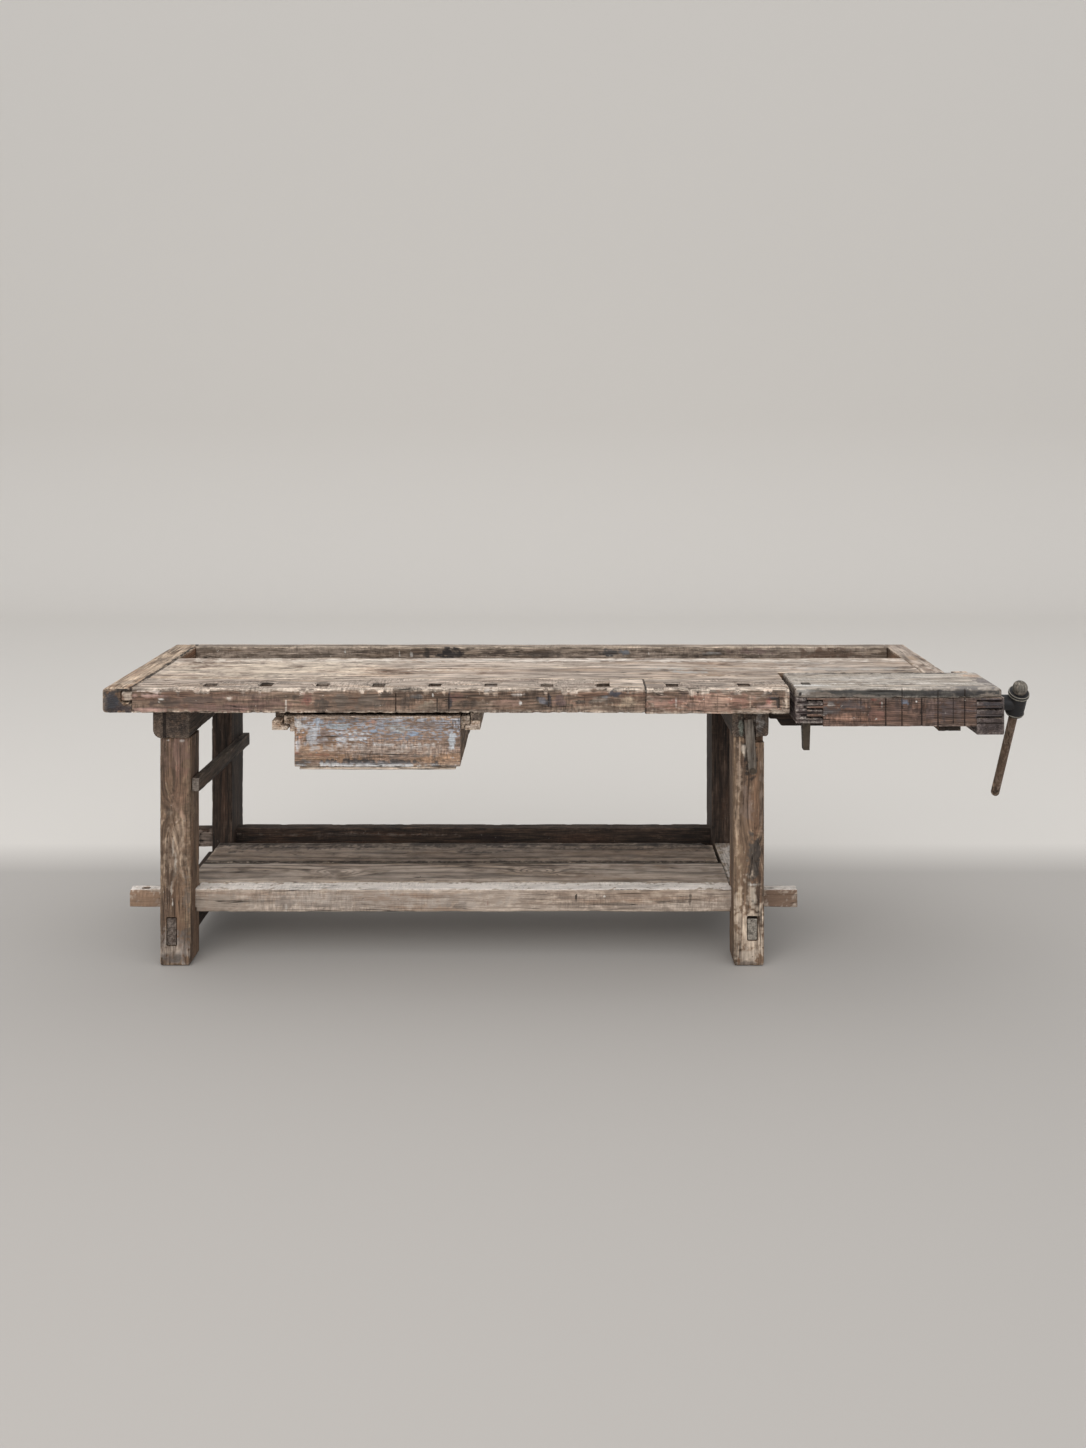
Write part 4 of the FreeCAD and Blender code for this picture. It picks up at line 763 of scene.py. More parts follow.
def topPieces():
    # the working top: slab, strips with dog holes, patch, caps, tray and rear rail
    slabLeft = boxes["left_end_cap"][1][0]
    slabRight = boxes["right_end_cap"][0][0]
    jointX = boxes["front_strip_right"][0][0]
    notchX = boxes["front_strip_right"][1][0]
    stripY = boxes["front_strip_left"][1][1]
    coverGap = 0.002
    notchY = boxes["vise_cover_board"][1][1] + coverGap
    tongue = {"drop": 0.0085, "thick": 0.029, "ease": 0.004, "from": -9.0}  # from the strip's end

    slabMarks = tops(
        (-1086, -166, 90, 40, "#8B7763", 0.5), (-943, -150, 190, 34, "#7E6B59", 0.65),
        (-800, -70, 160, 30, "#8C7967", 0.5), (-726, -56, 70, 24, "#75624F", 0.6),
        (-467, 40, 120, 20, "#94826F", 0.5), (-216, 32, 150, 20, "#8A7461", 0.6),
        (-30, -140, 140, 26, "#8F7C69", 0.45), (-340, -90, 240, 30, "#D2C2AC", 0.5),
        (180, -186, 110, 7, "#54463A", 0.8), (357, -112, 150, 46, "#A9A39C", 0.75),
        (330, -60, 260, 50, "#B5ADA2", 0.6), (430, -150, 90, 34, "#8E6F50", 0.6),
        (520, -112, 130, 24, "#7F6A56", 0.6), (820, -60, 420, 60, "#A69C92", 0.65),
        (700, 20, 380, 40, "#AEA195", 0.5), (900, -90, 260, 12, "#6E6056", 0.6),
        (-900, -60, 800, 300, "#DCC4A6", 0.6), (0, 60, 2600, 70, "#D8C9B9", 0.55),
        (-1238, -60, 16, 4000, "#2A211B", 0.95), (-640, 30, 300, 30, "#D0BEA4", 0.5),
        (-100, -40, 300, 30, "#C9B193", 0.5), (-560, -140, 160, 24, "#C79E77", 0.4),
        (60, -20, 220, 30, "#8C7A68", 0.45))
    slabKnots = [(-216, 32, 800, 14), (-943, -150, 800, 16), (-726, -56, 800, 12),
                 (430, -150, 800, 13), (120, 60, 800, 12), (-420, -60, 800, 10),
                 (760, 10, 800, 12)]
    slabLow = np.array([slabLeft, stripY, underZ])
    slabHigh = np.array([slabRight, boxes["main_slab"][1][1], topZ])
    timber("slabBoard", "main_slab", "x", materials["scrubbedTop"],
           look(arris=(0.002, 0.002, 0.0025, 0.0025), chips=(0, 0, 0.003, 0.003), bleachTop=0.95,
                grime=0.25, marks=slabMarks, knots=slabKnots, ringMm=15.0, sootEnds=(0.9, 0.3)),
           span=(slabLow, slabHigh), cell=0.0065,
           steps=[{"from": notchX, "section": [notchY, slabHigh[1], underZ, topZ]}])

    stripMarks = (fronts(
        (-1000, 760, 420, 70, "#7A4E3C", 0.35), (-600, 750, 300, 50, "#6B4A38", 0.3),
        (-1186, 777, 90, 14, "#B98C7B", 0.75), (-1190, 738, 110, 14, "#B08271", 0.7),
        (-1180, 790, 70, 10, "#D9C3B3", 0.8), (-1245, 776, 24, 26, "#B59F88", 0.9))
        + tops((-1245, -300, 24, 60, "#8D7964", 0.8))
        + fronts(
            (-1130, 758, 120, 30, "#4B3E34", 0.7), (-1150, 768, 16, 6, "#E2DDD3", 0.9),
            (-1155, 760, 8, 10, "#DAD4C9", 0.8), (-1040, 766, 150, 26, "#5A493E", 0.65),
            (-980, 745, 200, 22, "#7C5B50", 0.6), (-960, 772, 26, 16, "#C9BBAA", 0.6),
            (-900, 778, 130, 14, "#6C574A", 0.6), (-860, 755, 120, 40, "#6E5145", 0.5),
            (-798, 762, 3, 66, "#D8CCBC", 0.75), (-777, 775, 26, 22, "#4A3C34", 0.75),
            (-737, 766, 34, 44, "#8B4F3D", 0.6), (-700, 757, 60, 46, "#4E4238", 0.75),
            (-640, 766, 70, 50, "#685B4E", 0.6), (-560, 764, 90, 50, "#6A5B4D", 0.7),
            (-520, 782, 40, 20, "#4A3B31", 0.7), (-466, 762, 30, 50, "#57483C", 0.6),
            (-430, 775, 44, 16, "#5B5652", 0.7), (-400, 750, 70, 26, "#8F7B63", 0.6),
            (-387, 780, 4, 16, "#E4DED4", 0.9), (-339, 764, 12, 54, "#38363A", 0.9),
            (-318, 776, 50, 22, "#8C5B49", 0.6), (-283, 756, 60, 26, "#463A31", 0.75),
            (-232, 790, 50, 12, "#A9A3A0", 0.5), (-180, 758, 100, 26, "#96705B", 0.6),
            (-150, 782, 60, 12, "#A69C93", 0.4), (-140, 780, 4, 22, "#DCD6CC", 0.8),
            (-140, 757, 7, 12, "#E9E6DF", 0.95), (-94, 772, 12, 9, "#26211F", 0.85),
            (-78, 766, 28, 22, "#5B5A62", 0.6), (-62, 764, 14, 36, "#33343A", 0.85),
            (-30, 762, 40, 40, "#6A4F4A", 0.6), (20, 759, 22, 12, "#3A2F28", 0.8),
            (54, 759, 20, 9, "#43362D", 0.75), (36, 759, 40, 5, "#6B594C", 0.6),
            (90, 768, 60, 26, "#8C7B6A", 0.5), (120, 782, 54, 20, "#3B3B45", 0.85),
            (96, 776, 26, 12, "#767C84", 0.6), (80, 775, 20, 20, "#4F4338", 0.6),
            (160, 758, 60, 46, "#A08668", 0.6), (-240, 752, 60, 30, "#9A8068", 0.5),
            (60, 745, 120, 16, "#A58B70", 0.5)))
    stripKerfs = grooves(
        (-491, (732, 782)), (-375, (730, 770), 1.5), (39, (728, 775), 1.2, 1.6),
        (-465, (740, 785), 1.2, 1.6), (-342, (735, 780)), (-62, (745, 785), 1.5))
    rightMarks = fronts(
        (420, 760, 380, 80, "#B97E5E", 0.35), (239, 780, 26, 18, "#57422F", 0.8),
        (239, 780, 12, 7, "#8F7256", 0.85), (250, 762, 70, 50, "#8A6654", 0.5),
        (289, 762, 34, 22, "#A0604E", 0.6), (297, 764, 4, 46, "#E3DCD0", 0.9),
        (312, 785, 50, 14, "#4A3A30", 0.75), (318, 772, 40, 34, "#6F5447", 0.6),
        (348, 775, 12, 14, "#6A241E", 0.8), (336, 752, 50, 14, "#3F342C", 0.7),
        (385, 762, 90, 60, "#9A7560", 0.5), (362, 770, 9, 9, "#5E2A22", 0.8),
        (398, 776, 18, 20, "#54402F", 0.75), (420, 760, 60, 60, "#B58E72", 0.5),
        (436, 751, 10, 9, "#2C2320", 0.8), (461, 783, 34, 14, "#4B4843", 0.7),
        (470, 762, 60, 50, "#8A5C48", 0.55), (503, 760, 3, 60, "#C9A98B", 0.7),
        (530, 752, 26, 26, "#6B5648", 0.7), (560, 784, 50, 12, "#2E3236", 0.85),
        (566, 771, 44, 10, "#4B5257", 0.8), (582, 758, 13, 32, "#2B2A2C", 0.85),
        (555, 764, 22, 22, "#A45A48", 0.6), (604, 760, 14, 60, "#C2A98E", 0.7),
        (545, 748, 50, 14, "#C89E8B", 0.6))
    rightKerfs = grooves(
        (376, (728, 785), 1.0, 1.4), (412, (728, 780), 1.2, 1.4), (447, (732, 790), 1.0, 1.4),
        (585, (742, 775), 2.0))
    stripLook = look(arris=(0.004, 0.0015, 0.0015, 0.011), chips=(0.008, 0.0, 0.002, 0.014),
                     bleachTop=1.05, coatFront=0.6, bleachSide=0.2, grime=0.38, hollow=0.0018)
    tongueZ = topZ - tongue["drop"]
    patchLow, patchHigh = boxes["top_patch"]
    timber("frontStripLeft", "front_strip_left", "x", materials["stripWood"],
           dict(stripLook, marks=stripMarks, kerfs=stripKerfs),
           span=(np.array([boxes["front_strip_left"][0][0], frontY, underZ]),
                 np.array([jointX, stripY, topZ])),
           cell=0.004, holes=dogHoles("left"),
           steps=[{"from": tongue["from"],
                   "section": [frontY + tongue["ease"], stripY, tongueZ - tongue["thick"], tongueZ]},
                  {"from": slabLeft, "section": [frontY, stripY, underZ, topZ]}],
           sunk={"along": (patchLow[0], patchHigh[0] + 0.01),
                 "across": (patchLow[1], patchHigh[1] + 0.01), "depth": 0.006})
    timber("letInPatch", "top_patch", "x", materials["scrubbedTop"],
           look(arris=(0.0008,) * 4, chips=(0, 0, 0.002, 0.002), bleachTop=1.2, grime=0.05), cell=0.005)
    timber("frontStripRight", "front_strip_right", "x", materials["stripWood"],
           dict(stripLook, marks=rightMarks, kerfs=rightKerfs, bleachSide=0.42, coatFront=0.4,
                sootEnds=(0.8, 0.0)), cell=0.004, holes=dogHoles("right"))

    capMarks = (fronts(
        (-1290, 765, 60, 80, "#33363E", 0.9), (-1308, 765, 18, 60, "#6F6155", 0.5),
        (-1280, 790, 60, 16, "#3A3633", 0.7), (-1290, 738, 40, 10, "#332B2A", 0.7),
        (-1265, 740, 40, 14, "#3B3034", 0.8), (-1248, 744, 50, 24, "#3F3537", 0.9),
        # the last two, near black, are painted shade in the gaps round the strip's tongue
        (-1246, 759, 40, 5, "#0E0A09", 1.0), (-1252, 795, 54, 14, "#191412", 0.95))
        + tops(
            (-1237, -60, 10, 4000, "#2A211B", 0.95), (-1270, -250, 80, 60, "#B79F86", 0.6),
            (-1290, -120, 60, 120, "#A57C5C", 0.5), (-1270, 60, 60, 120, "#7D6A59", 0.5),
            (-1300, 200, 60, 100, "#6C5B4C", 0.5)))
    wornCopy("leftEndCap", "left_end_cap", "y", materials["capWood"],
             look(bleachTop=0.85, grime=0.25, marks=capMarks,
                  rounds=[(0, -1, 2, 1, 0.016), (0, -1, 1, -1, 0.014), (1, -1, 2, 1, 0.012)]),
             voxel=0.0028)
    noseMarks = (tops((1080, -80, 50, 50, "#7B6350", 0.6), (1085, 90, 60, 80, "#A3835F", 0.4))
                 + fronts((1080, 672, 160, 90, "#2A211C", 1.0)))
    wornCopy("rightEndCap", "right_end_cap", "y", materials["scrubbedTop"],
             look(bleachTop=0.9, grime=0.3, marks=noseMarks), voxel=0.003)
    railMarks = fronts(
        (-737, 780, 6, 40, "#E8E4DB", 0.9), (-560, 780, 6, 30, "#DDD8CC", 0.7),
        (-520, 778, 8, 44, "#DAD5CB", 0.7), (-470, 778, 26, 44, "#3A322D", 0.8),
        (-830, 775, 90, 30, "#5A4B40", 0.6), (-390, 778, 80, 46, "#2B282B", 0.9),
        (-100, 775, 200, 30, "#52473F", 0.5), (140, 780, 120, 24, "#4C4A4B", 0.75),
        (180, 782, 40, 14, "#79808A", 0.7), (260, 778, 5, 12, "#EFEAE0", 0.9),
        (420, 780, 5, 44, "#CFC8BB", 0.8), (470, 778, 60, 14, "#8E8A86", 0.6),
        (600, 784, 180, 22, "#6B4A49", 0.5), (860, 775, 240, 50, "#6E513D", 0.75),
        (990, 782, 120, 16, "#B79D82", 0.7))
    timber("rearRail", "rear_rail", "x", materials["railWood"],
           look(arris=(0.001, 0.004, 0.005, 0.005), bleachTop=0.95, bleachSide=0.6, grime=0.28,
                marks=railMarks),
           cell=0.006)
    timber("trayBoard", "tray_board", "x", materials["railWood"], look(grime=0.6), cell=0.009)
    wornCopy("bearerPegs", "bearer_pegs", "z", materials["handleWood"], look(grime=0.3), voxel=0.0012)


def basePieces():
    # trestles, stretchers and the shelf
    leftMarks = fronts(
        (-1125, 600, 100, 140, "#7B5A49", 0.4), (-1143, 643, 10, 6, "#E4DED2", 0.8),
        (-1103, 641, 12, 8, "#E0DACE", 0.8), (-1137, 440, 34, 24, "#4C3C30", 0.6),
        (-1137, 437, 14, 10, "#8D7359", 0.7), (-1119, 408, 12, 10, "#BFA082", 0.7),
        (-1129, 340, 5, 60, "#CFC6B7", 0.5), (-1122, 290, 6, 60, "#D5CDBF", 0.55),
        (-1126, 262, 22, 50, "#43352B", 0.7), (-1133, 215, 5, 60, "#D0C7B8", 0.5),
        (-1123, 50, 120, 130, "#93857A", 0.55), (-1105, 620, 60, 120, "#7A5544", 0.5),
        (-1130, 180, 7, 30, "#CFC5B5", 0.7), (-1120, 330, 90, 260, "#A5896C", 0.4),
        (-1110, 500, 60, 160, "#86583C", 0.35), (-1095, 90, 40, 60, "#54473D", 0.6),
        (-1130, 20, 80, 24, "#4B4039", 0.6), (-1140, 48, 60, 24, "#A38B72", 0.5),
        (-1090, 210, 30, 120, "#6B5D51", 0.5))
    rightMarks = fronts(
        # the first mark is a painted shadow: a dark band on the leg round the tie bar
        (508, 625, 46, 200, "#2E251F", 0.95), (478, 560, 20, 150, "#A98B6E", 0.6),
        (473, 420, 18, 200, "#AC8C6A", 0.65), (492, 610, 12, 40, "#D9C6AE", 0.6),
        (500, 450, 40, 120, "#7C6250", 0.6), (520, 290, 42, 170, "#4E443B", 0.8),
        (532, 300, 14, 140, "#39312B", 0.7), (541, 470, 12, 260, "#8F7560", 0.6),
        (478, 200, 30, 160, "#A98D6C", 0.5), (515, 232, 30, 5, "#D5CFC4", 0.7),
        (520, 190, 26, 60, "#74736C", 0.6), (506, 95, 130, 280, "#C9AF92", 0.65),
        (500, 30, 70, 60, "#A99784", 0.5), (505, 8, 90, 14, "#5A4B40", 0.7),
        (470, 60, 20, 60, "#9A8266", 0.5))
    footRounds = [(0, -1, 2, -1, 0.014), (0, 1, 2, -1, 0.014), (1, -1, 2, -1, 0.01),
                  (0, -1, 1, -1, 0.007), (0, 1, 1, -1, 0.007)]
    bearerMarks = fronts((483, 690, 30, 70, "#5B6054", 0.7), (540, 695, 40, 60, "#67605A", 0.7))
    bearerKerfs = grooves((-1150, (650, 728), 5.0, 5.0), (-1110, (662, 700), 1.5, 1.6))
    crossMarks = fronts(
        (-1123, 100, 200, 400, "#6B5C51", 0.6), (506, 100, 200, 400, "#938879", 0.85))
    for side, marks in (("left", leftMarks), ("right", rightMarks)):
        wornCopy(side + "FrontLeg", side + "_front_leg", "z", materials["legWood"],
                 look(grime=0.3, bleachSide=0.25, marks=marks, rounds=footRounds, ridge=0.0005,
                      hollow=0.0006,
                      knots=[(440, -1137, -280, 14), (300, -1112, -280, 12), (330, 520, -280, 14)]),
                 voxel=0.0028)
        wornCopy(side + "TopBearer", side + "_top_bearer", "y", materials["bearerWood"],
                 look(grime=0.3, marks=bearerMarks, kerfs=bearerKerfs), voxel=0.003)
        timber(side + "RearLeg", side + "_rear_leg", "z", materials["rearWood"],
               look(grime=0.4, bleachSide=0.3),
               span=(boxes[side + "_rear_leg"][0],
                     np.append(boxes[side + "_rear_leg"][1][:2], boxes[side + "_top_bearer"][0][2])),
               cell=0.006)
        wornCopy(side + "CrossRail", side + "_cross_rail", "y", materials["rearWood"],
                 look(grime=0.3, marks=crossMarks), voxel=0.004)
    wornCopy("leftTieRail", "left_tie_rail", "y", materials["bearerWood"],
             look(grime=0.2, bleachSide=0.15, marks=fronts((-1069, 521, 160, 160, "#74665A", 0.8))),
             voxel=0.0025)
    wornCopy("legTieBar", "leg_tie_bar", "z", materials["bearerWood"],
             look(grime=0.15, bleachSide=0.5, marks=fronts((508, 628, 60, 300, "#665C50", 0.7))),
             voxel=0.0018)
    # the left stub's two marks, the right stub's two, a long pale band over the whole top that is
    # painted light, then those between the legs
    stretcherMarks = (
        fronts((-1222, 170, 130, 80, "#8E6845", 0.95))
        + tops((-1222, -215, 110, 40, "#A5927C", 0.6))
        + fronts((604, 168, 130, 80, "#77563B", 1.0))
        # the long pale band on the top is painted light falling on the stretcher
        + tops((604, -215, 110, 40, "#8F7B68", 0.7), (-310, -204, 6000, 74, "#EFE3D8", 1.0))
        + fronts(
            (-1000, 165, 120, 40, "#8F7A66", 0.5), (-820, 160, 60, 40, "#6B5848", 0.7),
            (-818, 146, 8, 30, "#D5C9BA", 0.6), (-250, 163, 4, 34, "#8C3B30", 0.85),
            (-238, 163, 3, 30, "#96493C", 0.8), (-330, 150, 60, 20, "#6F5D4D", 0.7),
            (16, 168, 6, 44, "#2B211A", 0.95), (-700, 150, 120, 20, "#7A6757", 0.5),
            (180, 150, 160, 16, "#857364", 0.5), (-600, 168, 900, 60, "#A09082", 0.5),
            (-1010, 150, 200, 60, "#A3907D", 0.7), (96, 178, 12, 6, "#EFE9DD", 0.7),
            (345, 170, 6, 40, "#6A5848", 0.7)))
    # the stretcher's top is painted light: bleached far paler than its front (bleachTop 1.3), with the
    # pale band over it
    wornCopy("frontStretcher", "front_stretcher", "x", materials["stretcherWood"],
             look(grime=0.1, bleachTop=1.3, bleachSide=0.45, marks=stretcherMarks), voxel=0.0032)
    wornCopy("rearStretcher", "rear_stretcher", "x", materials["rearWood"],
             look(grime=0.3, bleachTop=0.8, marks=fronts(
                 (-250, 195, 160, 26, "#241511", 0.8), (-1160, 180, 130, 120, "#8A7463", 0.8),
                 (-700, 205, 700, 14, "#5A4B40", 0.5))),
             voxel=0.004)
    timber("shelfFrontPlank", "shelf_front_plank", "x", materials["shelfWood"],
           look(bleachTop=0.75, grime=0.2, knots=[(-700, -100, 200, 16), (-100, -90, 200, 14)],
                ringMm=18.0, soot=(0, 0, 0.95, 0), sootMm=16.0,
                marks=tops((-700, -100, 60, 40, "#7A6858", 0.5))), cell=0.007)
    # the rear plank is painted darker than the front one, little bleached and heavily grimed, with a
    # broad dark band along its back: painted shade under the top
    wornCopy("shelfRearPlank", "shelf_rear_plank", "x", materials["shelfWood"],
             look(bleachTop=0.3, grime=0.45, ringMm=18.0,
                  marks=tops(
                      # the broad first band is painted shade; the thin second line is the seam between
                      # the planks
                      (-310, 160, 6000, 150, "#3A322D", 0.6), (-310, -16, 6000, 14, "#2A221D", 0.8),
                      (-280, 60, 110, 16, "#4A403A", 0.75), (-190, 75, 90, 12, "#544A43", 0.7),
                      (-600, 60, 300, 40, "#8A7A6A", 0.5))), voxel=0.0042)
    timber("shelfEndBoard", "shelf_end_board", "y", materials["railWood"],
           look(bleachTop=1.1, grime=0.1, marks=tops((505, -60, 120, 500, "#D3C6BA", 0.85))),
           cell=0.007)
    for part in ("middle", "right"):
        wornCopy(part + "Batten", "shelf_batten_" + part, "y", materials["shelfWood"],
                 look(grime=0.5), voxel=0.004)


def drawerPieces():
    # the hung drawer and its runners
    frontMarks = fronts(
        (-765, 690, 20, 50, "#B9B2AC", 0.7), (-768, 640, 16, 44, "#C3C0C4", 0.75),
        (-760, 660, 30, 16, "#B06F3F", 0.6), (-755, 590, 40, 22, "#55514F", 0.7),
        (-766, 615, 26, 10, "#9A4F26", 0.6), (-740, 625, 60, 50, "#A9835F", 0.6),
        (-727, 668, 60, 70, "#A9ABB1", 0.75), (-690, 662, 44, 50, "#7A5C4A", 0.8),
        (-710, 704, 40, 22, "#8EA0B4", 0.7), (-620, 672, 110, 12, "#C9CACE", 0.75),
        (-620, 655, 120, 12, "#BFC0C4", 0.7), (-640, 690, 110, 16, "#8C99A0", 0.6),
        (-556, 703, 44, 14, "#AC7350", 0.75), (-552, 681, 50, 16, "#8397B2", 0.75),
        (-440, 671, 50, 16, "#7F96B3", 0.8), (-480, 685, 90, 26, "#9AA0A2", 0.6),
        (-400, 695, 80, 30, "#7C675B", 0.6), (-334, 650, 26, 60, "#B4BCC4", 0.85),
        (-380, 625, 90, 40, "#A88F7C", 0.5), (-540, 625, 260, 40, "#AA9686", 0.5),
        (-600, 604, 240, 10, "#8A6C56", 0.5), (-650, 630, 160, 16, "#B3A296", 0.45),
        (-430, 636, 120, 14, "#AFA096", 0.45), (-560, 586, 320, 16, "#7F7F84", 0.75),
        (-600, 594, 180, 12, "#343232", 0.85), (-450, 593, 190, 12, "#3A3635", 0.8),
        # the long pale line low on the front is a painted highlight along its lower edge
        (-540, 580, 380, 9, "#D6D4D3", 0.85), (-370, 578, 70, 8, "#2B2725", 0.8),
        (-680, 584, 60, 10, "#C7C5C4", 0.6), (-430, 608, 90, 14, "#6E6359", 0.6),
        (-700, 612, 90, 10, "#8C4F2E", 0.5), (-540, 640, 300, 10, "#B9B4B2", 0.4))
    timber("drawerFront", "drawer_front", "x", materials["drawerPaint"],
           look(arris=(0.005, 0.002, 0.002, 0.002), coatFront=0.85, coatAbove=(0.60, 0.68),
                grime=0.25, marks=frontMarks), cell=0.0035)
    for side in ("left", "right"):
        timber(side + "DrawerSide", "drawer_" + side + "_side", "y", materials["drawerWood"],
               look(grime=0.6), cell=0.007)
        for part in ("Cleat", "Runner"):
            wornCopy(side + part, "drawer_" + side + "_" + part.lower(), "y", materials["drawerWood"],
                     look(grime=0.15, bleachSide=0.6, bleachTop=0.6, ridge=0.0003, hollow=0.0002,
                          chip=0.001), voxel=0.0018)
        timber(side + "Spacer", side + "_runner_spacer", "y", materials["railWood"],
               look(grime=0.4), cell=0.006)
    timber("drawerBack", "drawer_back", "x", materials["drawerWood"], look(grime=0.5), cell=0.007)
    timber("drawerBottom", "drawer_bottom", "x", materials["drawerWood"],
           look(bleachSide=0.9, grime=0.1), cell=0.008)


def visePieces():
    # the sliding vise: its cover board, jaw, jaw head, end block, guides, handle and knob
    jawKerfs = grooves(
        (884, (690, 772)), (930, (690, 796)), (985, (690, 772)), (1031, (690, 792)),
        (1074, (700, 772), 1.5), (1106, (690, 797)), (814, (705, 772), 1.2, 1.8))
    coverMarks = (fronts(
        (655, 788, 60, 20, "#B9B1A7", 0.7), (643, 783, 11, 11, "#16110F", 1.0),
        (800, 790, 700, 12, "#3C3B3A", 0.5), (1120, 788, 220, 22, "#3D3839", 0.6),
        (1010, 780, 300, 8, "#302C2B", 0.6), (677, 777, 40, 8, "#4D4842", 0.6))
        + tops(
            (690, -285, 110, 26, "#E2DDD6", 0.8), (700, -296, 60, 10, "#4F4B48", 0.7),
            (660, -200, 60, 60, "#C9BBA9", 0.5), (850, -200, 300, 60, "#BEB5AB", 0.5),
            (1000, -190, 160, 14, "#8B8178", 0.6), (1180, -160, 60, 50, "#C49B78", 0.6),
            (1195, -250, 70, 130, "#7D736F", 0.75), (890, -124, 640, 16, "#2B2624", 0.95),
            (1110, -305, 200, 30, "#77706C", 0.6), (930, -262, 500, 14, "#E0D6C9", 0.55)))
    jawMarks = fronts(
        (740, 735, 60, 60, "#514845", 0.6), (800, 722, 24, 70, "#6A4B3C", 0.6),
        (838, 735, 16, 80, "#483A36", 0.6), (916, 740, 14, 70, "#4A3B36", 0.6),
        (950, 740, 12, 80, "#3F3330", 0.6), (1000, 745, 14, 70, "#453936", 0.6),
        (1046, 740, 14, 80, "#3E3332", 0.6), (1090, 730, 16, 70, "#6B5348", 0.6),
        (700, 760, 60, 20, "#6E6660", 0.6), (730, 752, 40, 8, "#A89C92", 0.6),
        (755, 714, 90, 30, "#94674C", 0.65), (720, 735, 40, 26, "#5B5452", 0.7),
        (783, 752, 90, 30, "#544A4B", 0.6), (856, 724, 50, 40, "#8C5A48", 0.6),
        (853, 766, 24, 8, "#A0492F", 0.6), (873, 749, 7, 24, "#B5ABA0", 0.5),
        (868, 752, 5, 22, "#7A2E26", 0.7), (856, 713, 6, 6, "#D0C8BC", 0.6),
        (935, 762, 26, 22, "#6E7C94", 0.65), (970, 762, 6, 6, "#E6E2DB", 0.7),
        (905, 725, 40, 50, "#7A5645", 0.5), (960, 722, 44, 40, "#8B634D", 0.6),
        (1010, 735, 40, 50, "#6B524A", 0.6), (1060, 738, 70, 60, "#5B4B4A", 0.6),
        (1185, 735, 100, 130, "#4F4546", 0.9))
    wornCopy("coverBoard", "vise_cover_board", "x", materials["viseTop"],
             look(bleachTop=1.0, coatFront=1.15, coatAlong=(0.62, 0.78), bleachSide=0.2, grime=0.2,
                  kerfs=jawKerfs, marks=coverMarks, chip=0.004, ridge=0.0005, hollow=0.0005,
                  ease=0.0003,
                  rounds=[(0, 1, 2, 1, 0.027), (0, 1, 1, -1, 0.040), (1, -1, 2, 1, 0.011),
                          (0, -1, 2, 1, 0.010), (0, -1, 1, -1, 0.012)]), voxel=0.0024)
    wornCopy("frontJaw", "vise_front_jaw", "x", materials["viseWood"],
             look(bleachTop=0.6, coatFront=0.75, coatAlong=(0.80, 1.25), grime=0.35, ridge=0.0006,
                  hollow=0.0006, kerfs=jawKerfs, marks=jawMarks), voxel=0.0016)
    headGrooves = grooves(
        ((637, 709), 759, 4.0, 2.6), ((655, 709), 746, 6.0, 5.0), ((634, 709), 731, 3.0, 2.4),
        ((648, 709), 722, 6.0, 4.6), ((632, 709), 709, 2.0, 1.8))
    headMarks = fronts(
        (666, 752, 90, 6, "#94897F", 0.75), (666, 738, 90, 6, "#A0958B", 0.8),
        (666, 715, 90, 7, "#9C9086", 0.8), (668, 703, 90, 5, "#8D8077", 0.75),
        (668, 766, 90, 6, "#857B74", 0.7))
    endGrooves = grooves(
        ((1142, 1222), 724, 2.5, 2.2), ((1142, 1222), 742, 2.0, 2.0), ((1142, 1222), 700, 3.0, 2.4))
    wornCopy("jawHead", "vise_jaw_head", "y", materials["viseEnd"],
             look(bleachTop=0.6, bleachSide=0.35, coatFront=0.3, grime=0.3, kerfs=headGrooves,
                  marks=headMarks, rounds=[(0, -1, 1, -1, 0.009), (0, -1, 2, -1, 0.008)]), voxel=0.0018)
    blockMarks = (fronts((1176, 755, 60, 20, "#4A4B55", 0.7), (1180, 745, 90, 50, "#3F3738", 0.7))
                  + tops((1160, -102, 80, 60, "#CDB094", 1.0)))
    wornCopy("endBlock", "vise_end_block", "y", materials["viseEnd"],
             look(bleachTop=0.6, coatFront=0.8, grime=0.45, kerfs=endGrooves, marks=blockMarks,
                  ridge=0.0006, hollow=0.0005, ease=0.0003,
                  rounds=[(0, 1, 1, -1, 0.014), (0, 1, 2, -1, 0.010)]), voxel=0.002)
    for part, voxel in (("Rail", 0.0035), ("Tongue", 0.003)):
        wornCopy("guide" + part, "vise_guide_" + part.lower(), "x", materials["rearWood"],
                 look(grime=0.5), voxel=voxel)
    wornCopy("handleBar", "vise_handle", "z", materials["handleWood"],
             look(grime=0.1, bleachSide=0.45, ease=0.0, chip=0.0, ridge=0.0003, hollow=0.0002),
             voxel=0.0016)
    wornCopy("handleKnob", "handle_knob", "z", materials["knobWood"],
             look(grime=0.25, ease=0.0, chip=0.0, ridge=0.0003, hollow=0.0003), voxel=0.0014)


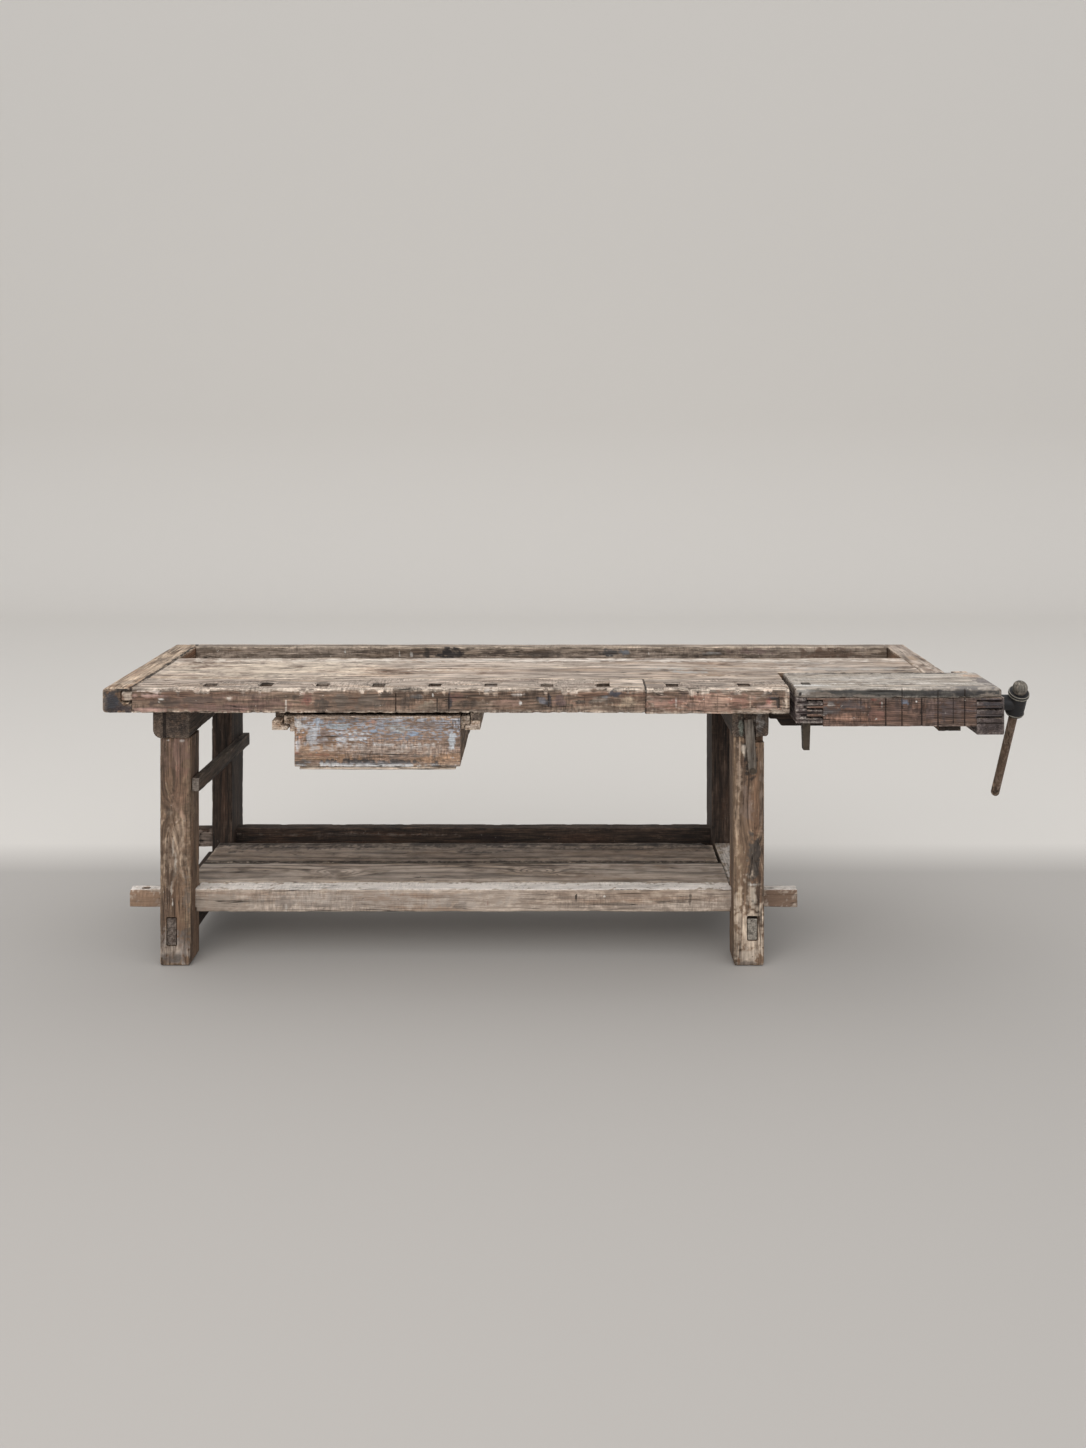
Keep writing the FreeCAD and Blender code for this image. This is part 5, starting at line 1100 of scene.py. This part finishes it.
def hubRimHighlights(rims):
    # bright rims of the hub, painted highlights on its ring edges and partly iron that hands rub
    # bright: a small round section carried once round the handle's line, at a height along it
    lean = math.radians(rims["lean"])
    upward = np.array([0, -math.sin(lean), math.cos(lean)])
    sideways = np.cross([1.0, 0, 0], upward)
    turn = np.linspace(0, 2 * math.pi, rims["around"] + 1)[:-1, None]
    section = np.linspace(0, 2 * math.pi, rims["section"] + 1)[:-1][None, :]
    for name, (height, radius, thick) in rims["places"].items():
        out = (radius + thick * np.cos(section)) / 1000
        rise = (height + thick * np.sin(section)) / 1000 + 0 * turn
        world = (np.array(rims["middle"]) + (out * np.cos(turn))[..., None] * np.array([1.0, 0, 0])
                 + (out * np.sin(turn))[..., None] * sideways + rise[..., None] * upward)
        index = np.arange(turn.size * section.size).reshape(turn.size, section.size)
        across = np.roll(index, -1, axis=1)
        quads = np.stack([index, np.roll(index, -1, axis=0), np.roll(across, -1, axis=0), across],
                         axis=2)
        mesh = closedMesh(name, world.reshape(-1, 3), quads.reshape(-1, 4), np.zeros((0, 3), int))
        mesh.materials.append(rims["material"])
        piece = bpy.data.objects.new(name, mesh)
        bpy.context.scene.collection.objects.link(piece)
        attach(piece, "screw")


topPieces()
print("top made")
basePieces()
print("base made")
drawerPieces()
print("drawer made")
visePieces()
hubRimHighlights({"middle": (1.2885, -0.22, 0.7355), "lean": 29.0, "material": rimHighlightIron,
         "around": 96, "section": 16,
         "places": {"hubTopRim": (38.4, 27.2, 1.3), "hubCollarRim": (29.8, 27.6, 1.4),
                    "hubFootRim": (-34.6, 25.4, 1.5)}})
print("vise made")

for node, piece in frame["nodes"].items():
    if slotOf[node] == "forged_iron":
        piece.data.materials.clear()
        piece.data.materials.append(
            dogIron if node in ("vise_dog", "dog_spring", "tie_bar_bolt") else iron)


def studio():
    # pale floor and sweep, soft light from the front left and above
    setting = {"floor": "#AEAAA6", "sweep": "#D6D2CD", "change": (0.42, 0.70), "depthBehind": 7.0,
               "sweepRadius": 1.5, "height": 6.0, "halfWidth": 12.0, "inFront": 8.0,
               "rough": 0.9, "sky": "#F1F2F3"}
    turn = np.linspace(0, math.pi / 2, 24)
    start = setting["depthBehind"] - setting["sweepRadius"]
    y = np.concatenate([[-setting["inFront"]], start + setting["sweepRadius"] * np.sin(turn),
                        [setting["depthBehind"]]])
    z = np.concatenate([[0.0], setting["sweepRadius"] * (1 - np.cos(turn)), [setting["height"]]])
    rows = [np.stack([np.full_like(y, x), y, z], axis=1) for x in (-setting["halfWidth"],
                                                                   setting["halfWidth"])]
    count = len(y)
    quads = [(i, count + i, count + i + 1, i + 1) for i in range(count - 1)]
    mesh = bpy.data.meshes.new("sweep")
    mesh.from_pydata(np.concatenate(rows).tolist(), [], quads)
    mesh.shade_smooth()
    sweep = bpy.data.objects.new("sweep", mesh)
    bpy.context.scene.collection.objects.link(sweep)
    material = bpy.data.materials.new("matPlaster")
    material.use_nodes = True
    tree = material.node_tree
    shader = tree.nodes["Principled BSDF"]
    at = add(tree, "TexCoord").outputs["Object"]
    split = add(tree, "SeparateXYZ", {}, {0: at})
    back = add(tree, "MapRange", {"From Min": setting["change"][0], "From Max": setting["change"][1]},
               {"Value": split.outputs[1]})
    tone = add(tree, "Mix", {"data_type": "RGBA", 6: linear(setting["floor"]),
                             7: linear(setting["sweep"])}, {0: back.outputs[0]})
    tree.links.new(tone.outputs[2], shader.inputs["Base Color"])
    shader.inputs["Roughness"].default_value = setting["rough"]
    mesh.materials.append(material)

    world = bpy.data.worlds.new("softSky")
    bpy.context.scene.world = world
    world.use_nodes = True
    tree = world.node_tree
    background = tree.nodes["Background"]
    path = add(tree, "LightPath")
    seen = add(tree, "Mix", {"data_type": "RGBA", 6: linear(setting["sky"]),
                             7: linear(setting["sweep"])}, {0: path.outputs["Is Camera Ray"]})
    tree.links.new(seen.outputs[2], background.inputs["Color"])
    background.inputs["Strength"].default_value = 1.0
    for name, at, aim, size, power, colour in (
            ("keyLight", (-2.4, -4.0, 3.0), (0.0, -0.2, 0.5), 3.0, 60.0, "#FFFAF5"),
            ("frontFill", (0.5, -5.5, 2.2), (0.0, -0.2, 0.5), 4.0, 70.0, "#FFFCF8"),
            ("overhead", (0.6, 0.6, 4.2), (0.0, -0.1, 0.5), 4.0, 25.0, "#FFFCF8")):
        lamp = bpy.data.lights.new(name, "AREA")
        lamp.size = size
        lamp.energy = power
        lamp.color = linear(colour)[:3]
        light = bpy.data.objects.new(name, lamp)
        light.location = at
        light.visible_camera = False
        light.rotation_euler = (Vector(aim) - Vector(at)).to_track_quat("-Z", "Y").to_euler()
        bpy.context.scene.collection.objects.link(light)


def camera():
    # level camera with a lens shift, as a view camera stands in front of furniture
    shot = {"place": (-0.0275, -3.72, 1.577), "lens": 30.13, "shift": (-0.0124, -0.2162)}
    data = bpy.data.cameras.new("shot")
    data.lens = shot["lens"]
    data.sensor_width = 36.0
    data.sensor_fit = "AUTO"
    data.shift_x, data.shift_y = shot["shift"]
    stand = bpy.data.objects.new("shot", data)
    stand.location = shot["place"]
    stand.rotation_euler = (math.pi / 2, 0, 0)
    bpy.context.scene.collection.objects.link(stand)
    bpy.context.scene.camera = stand


studio()
camera()
bpy.context.scene.view_settings.view_transform = "Standard"
bpy.context.view_layer.update()
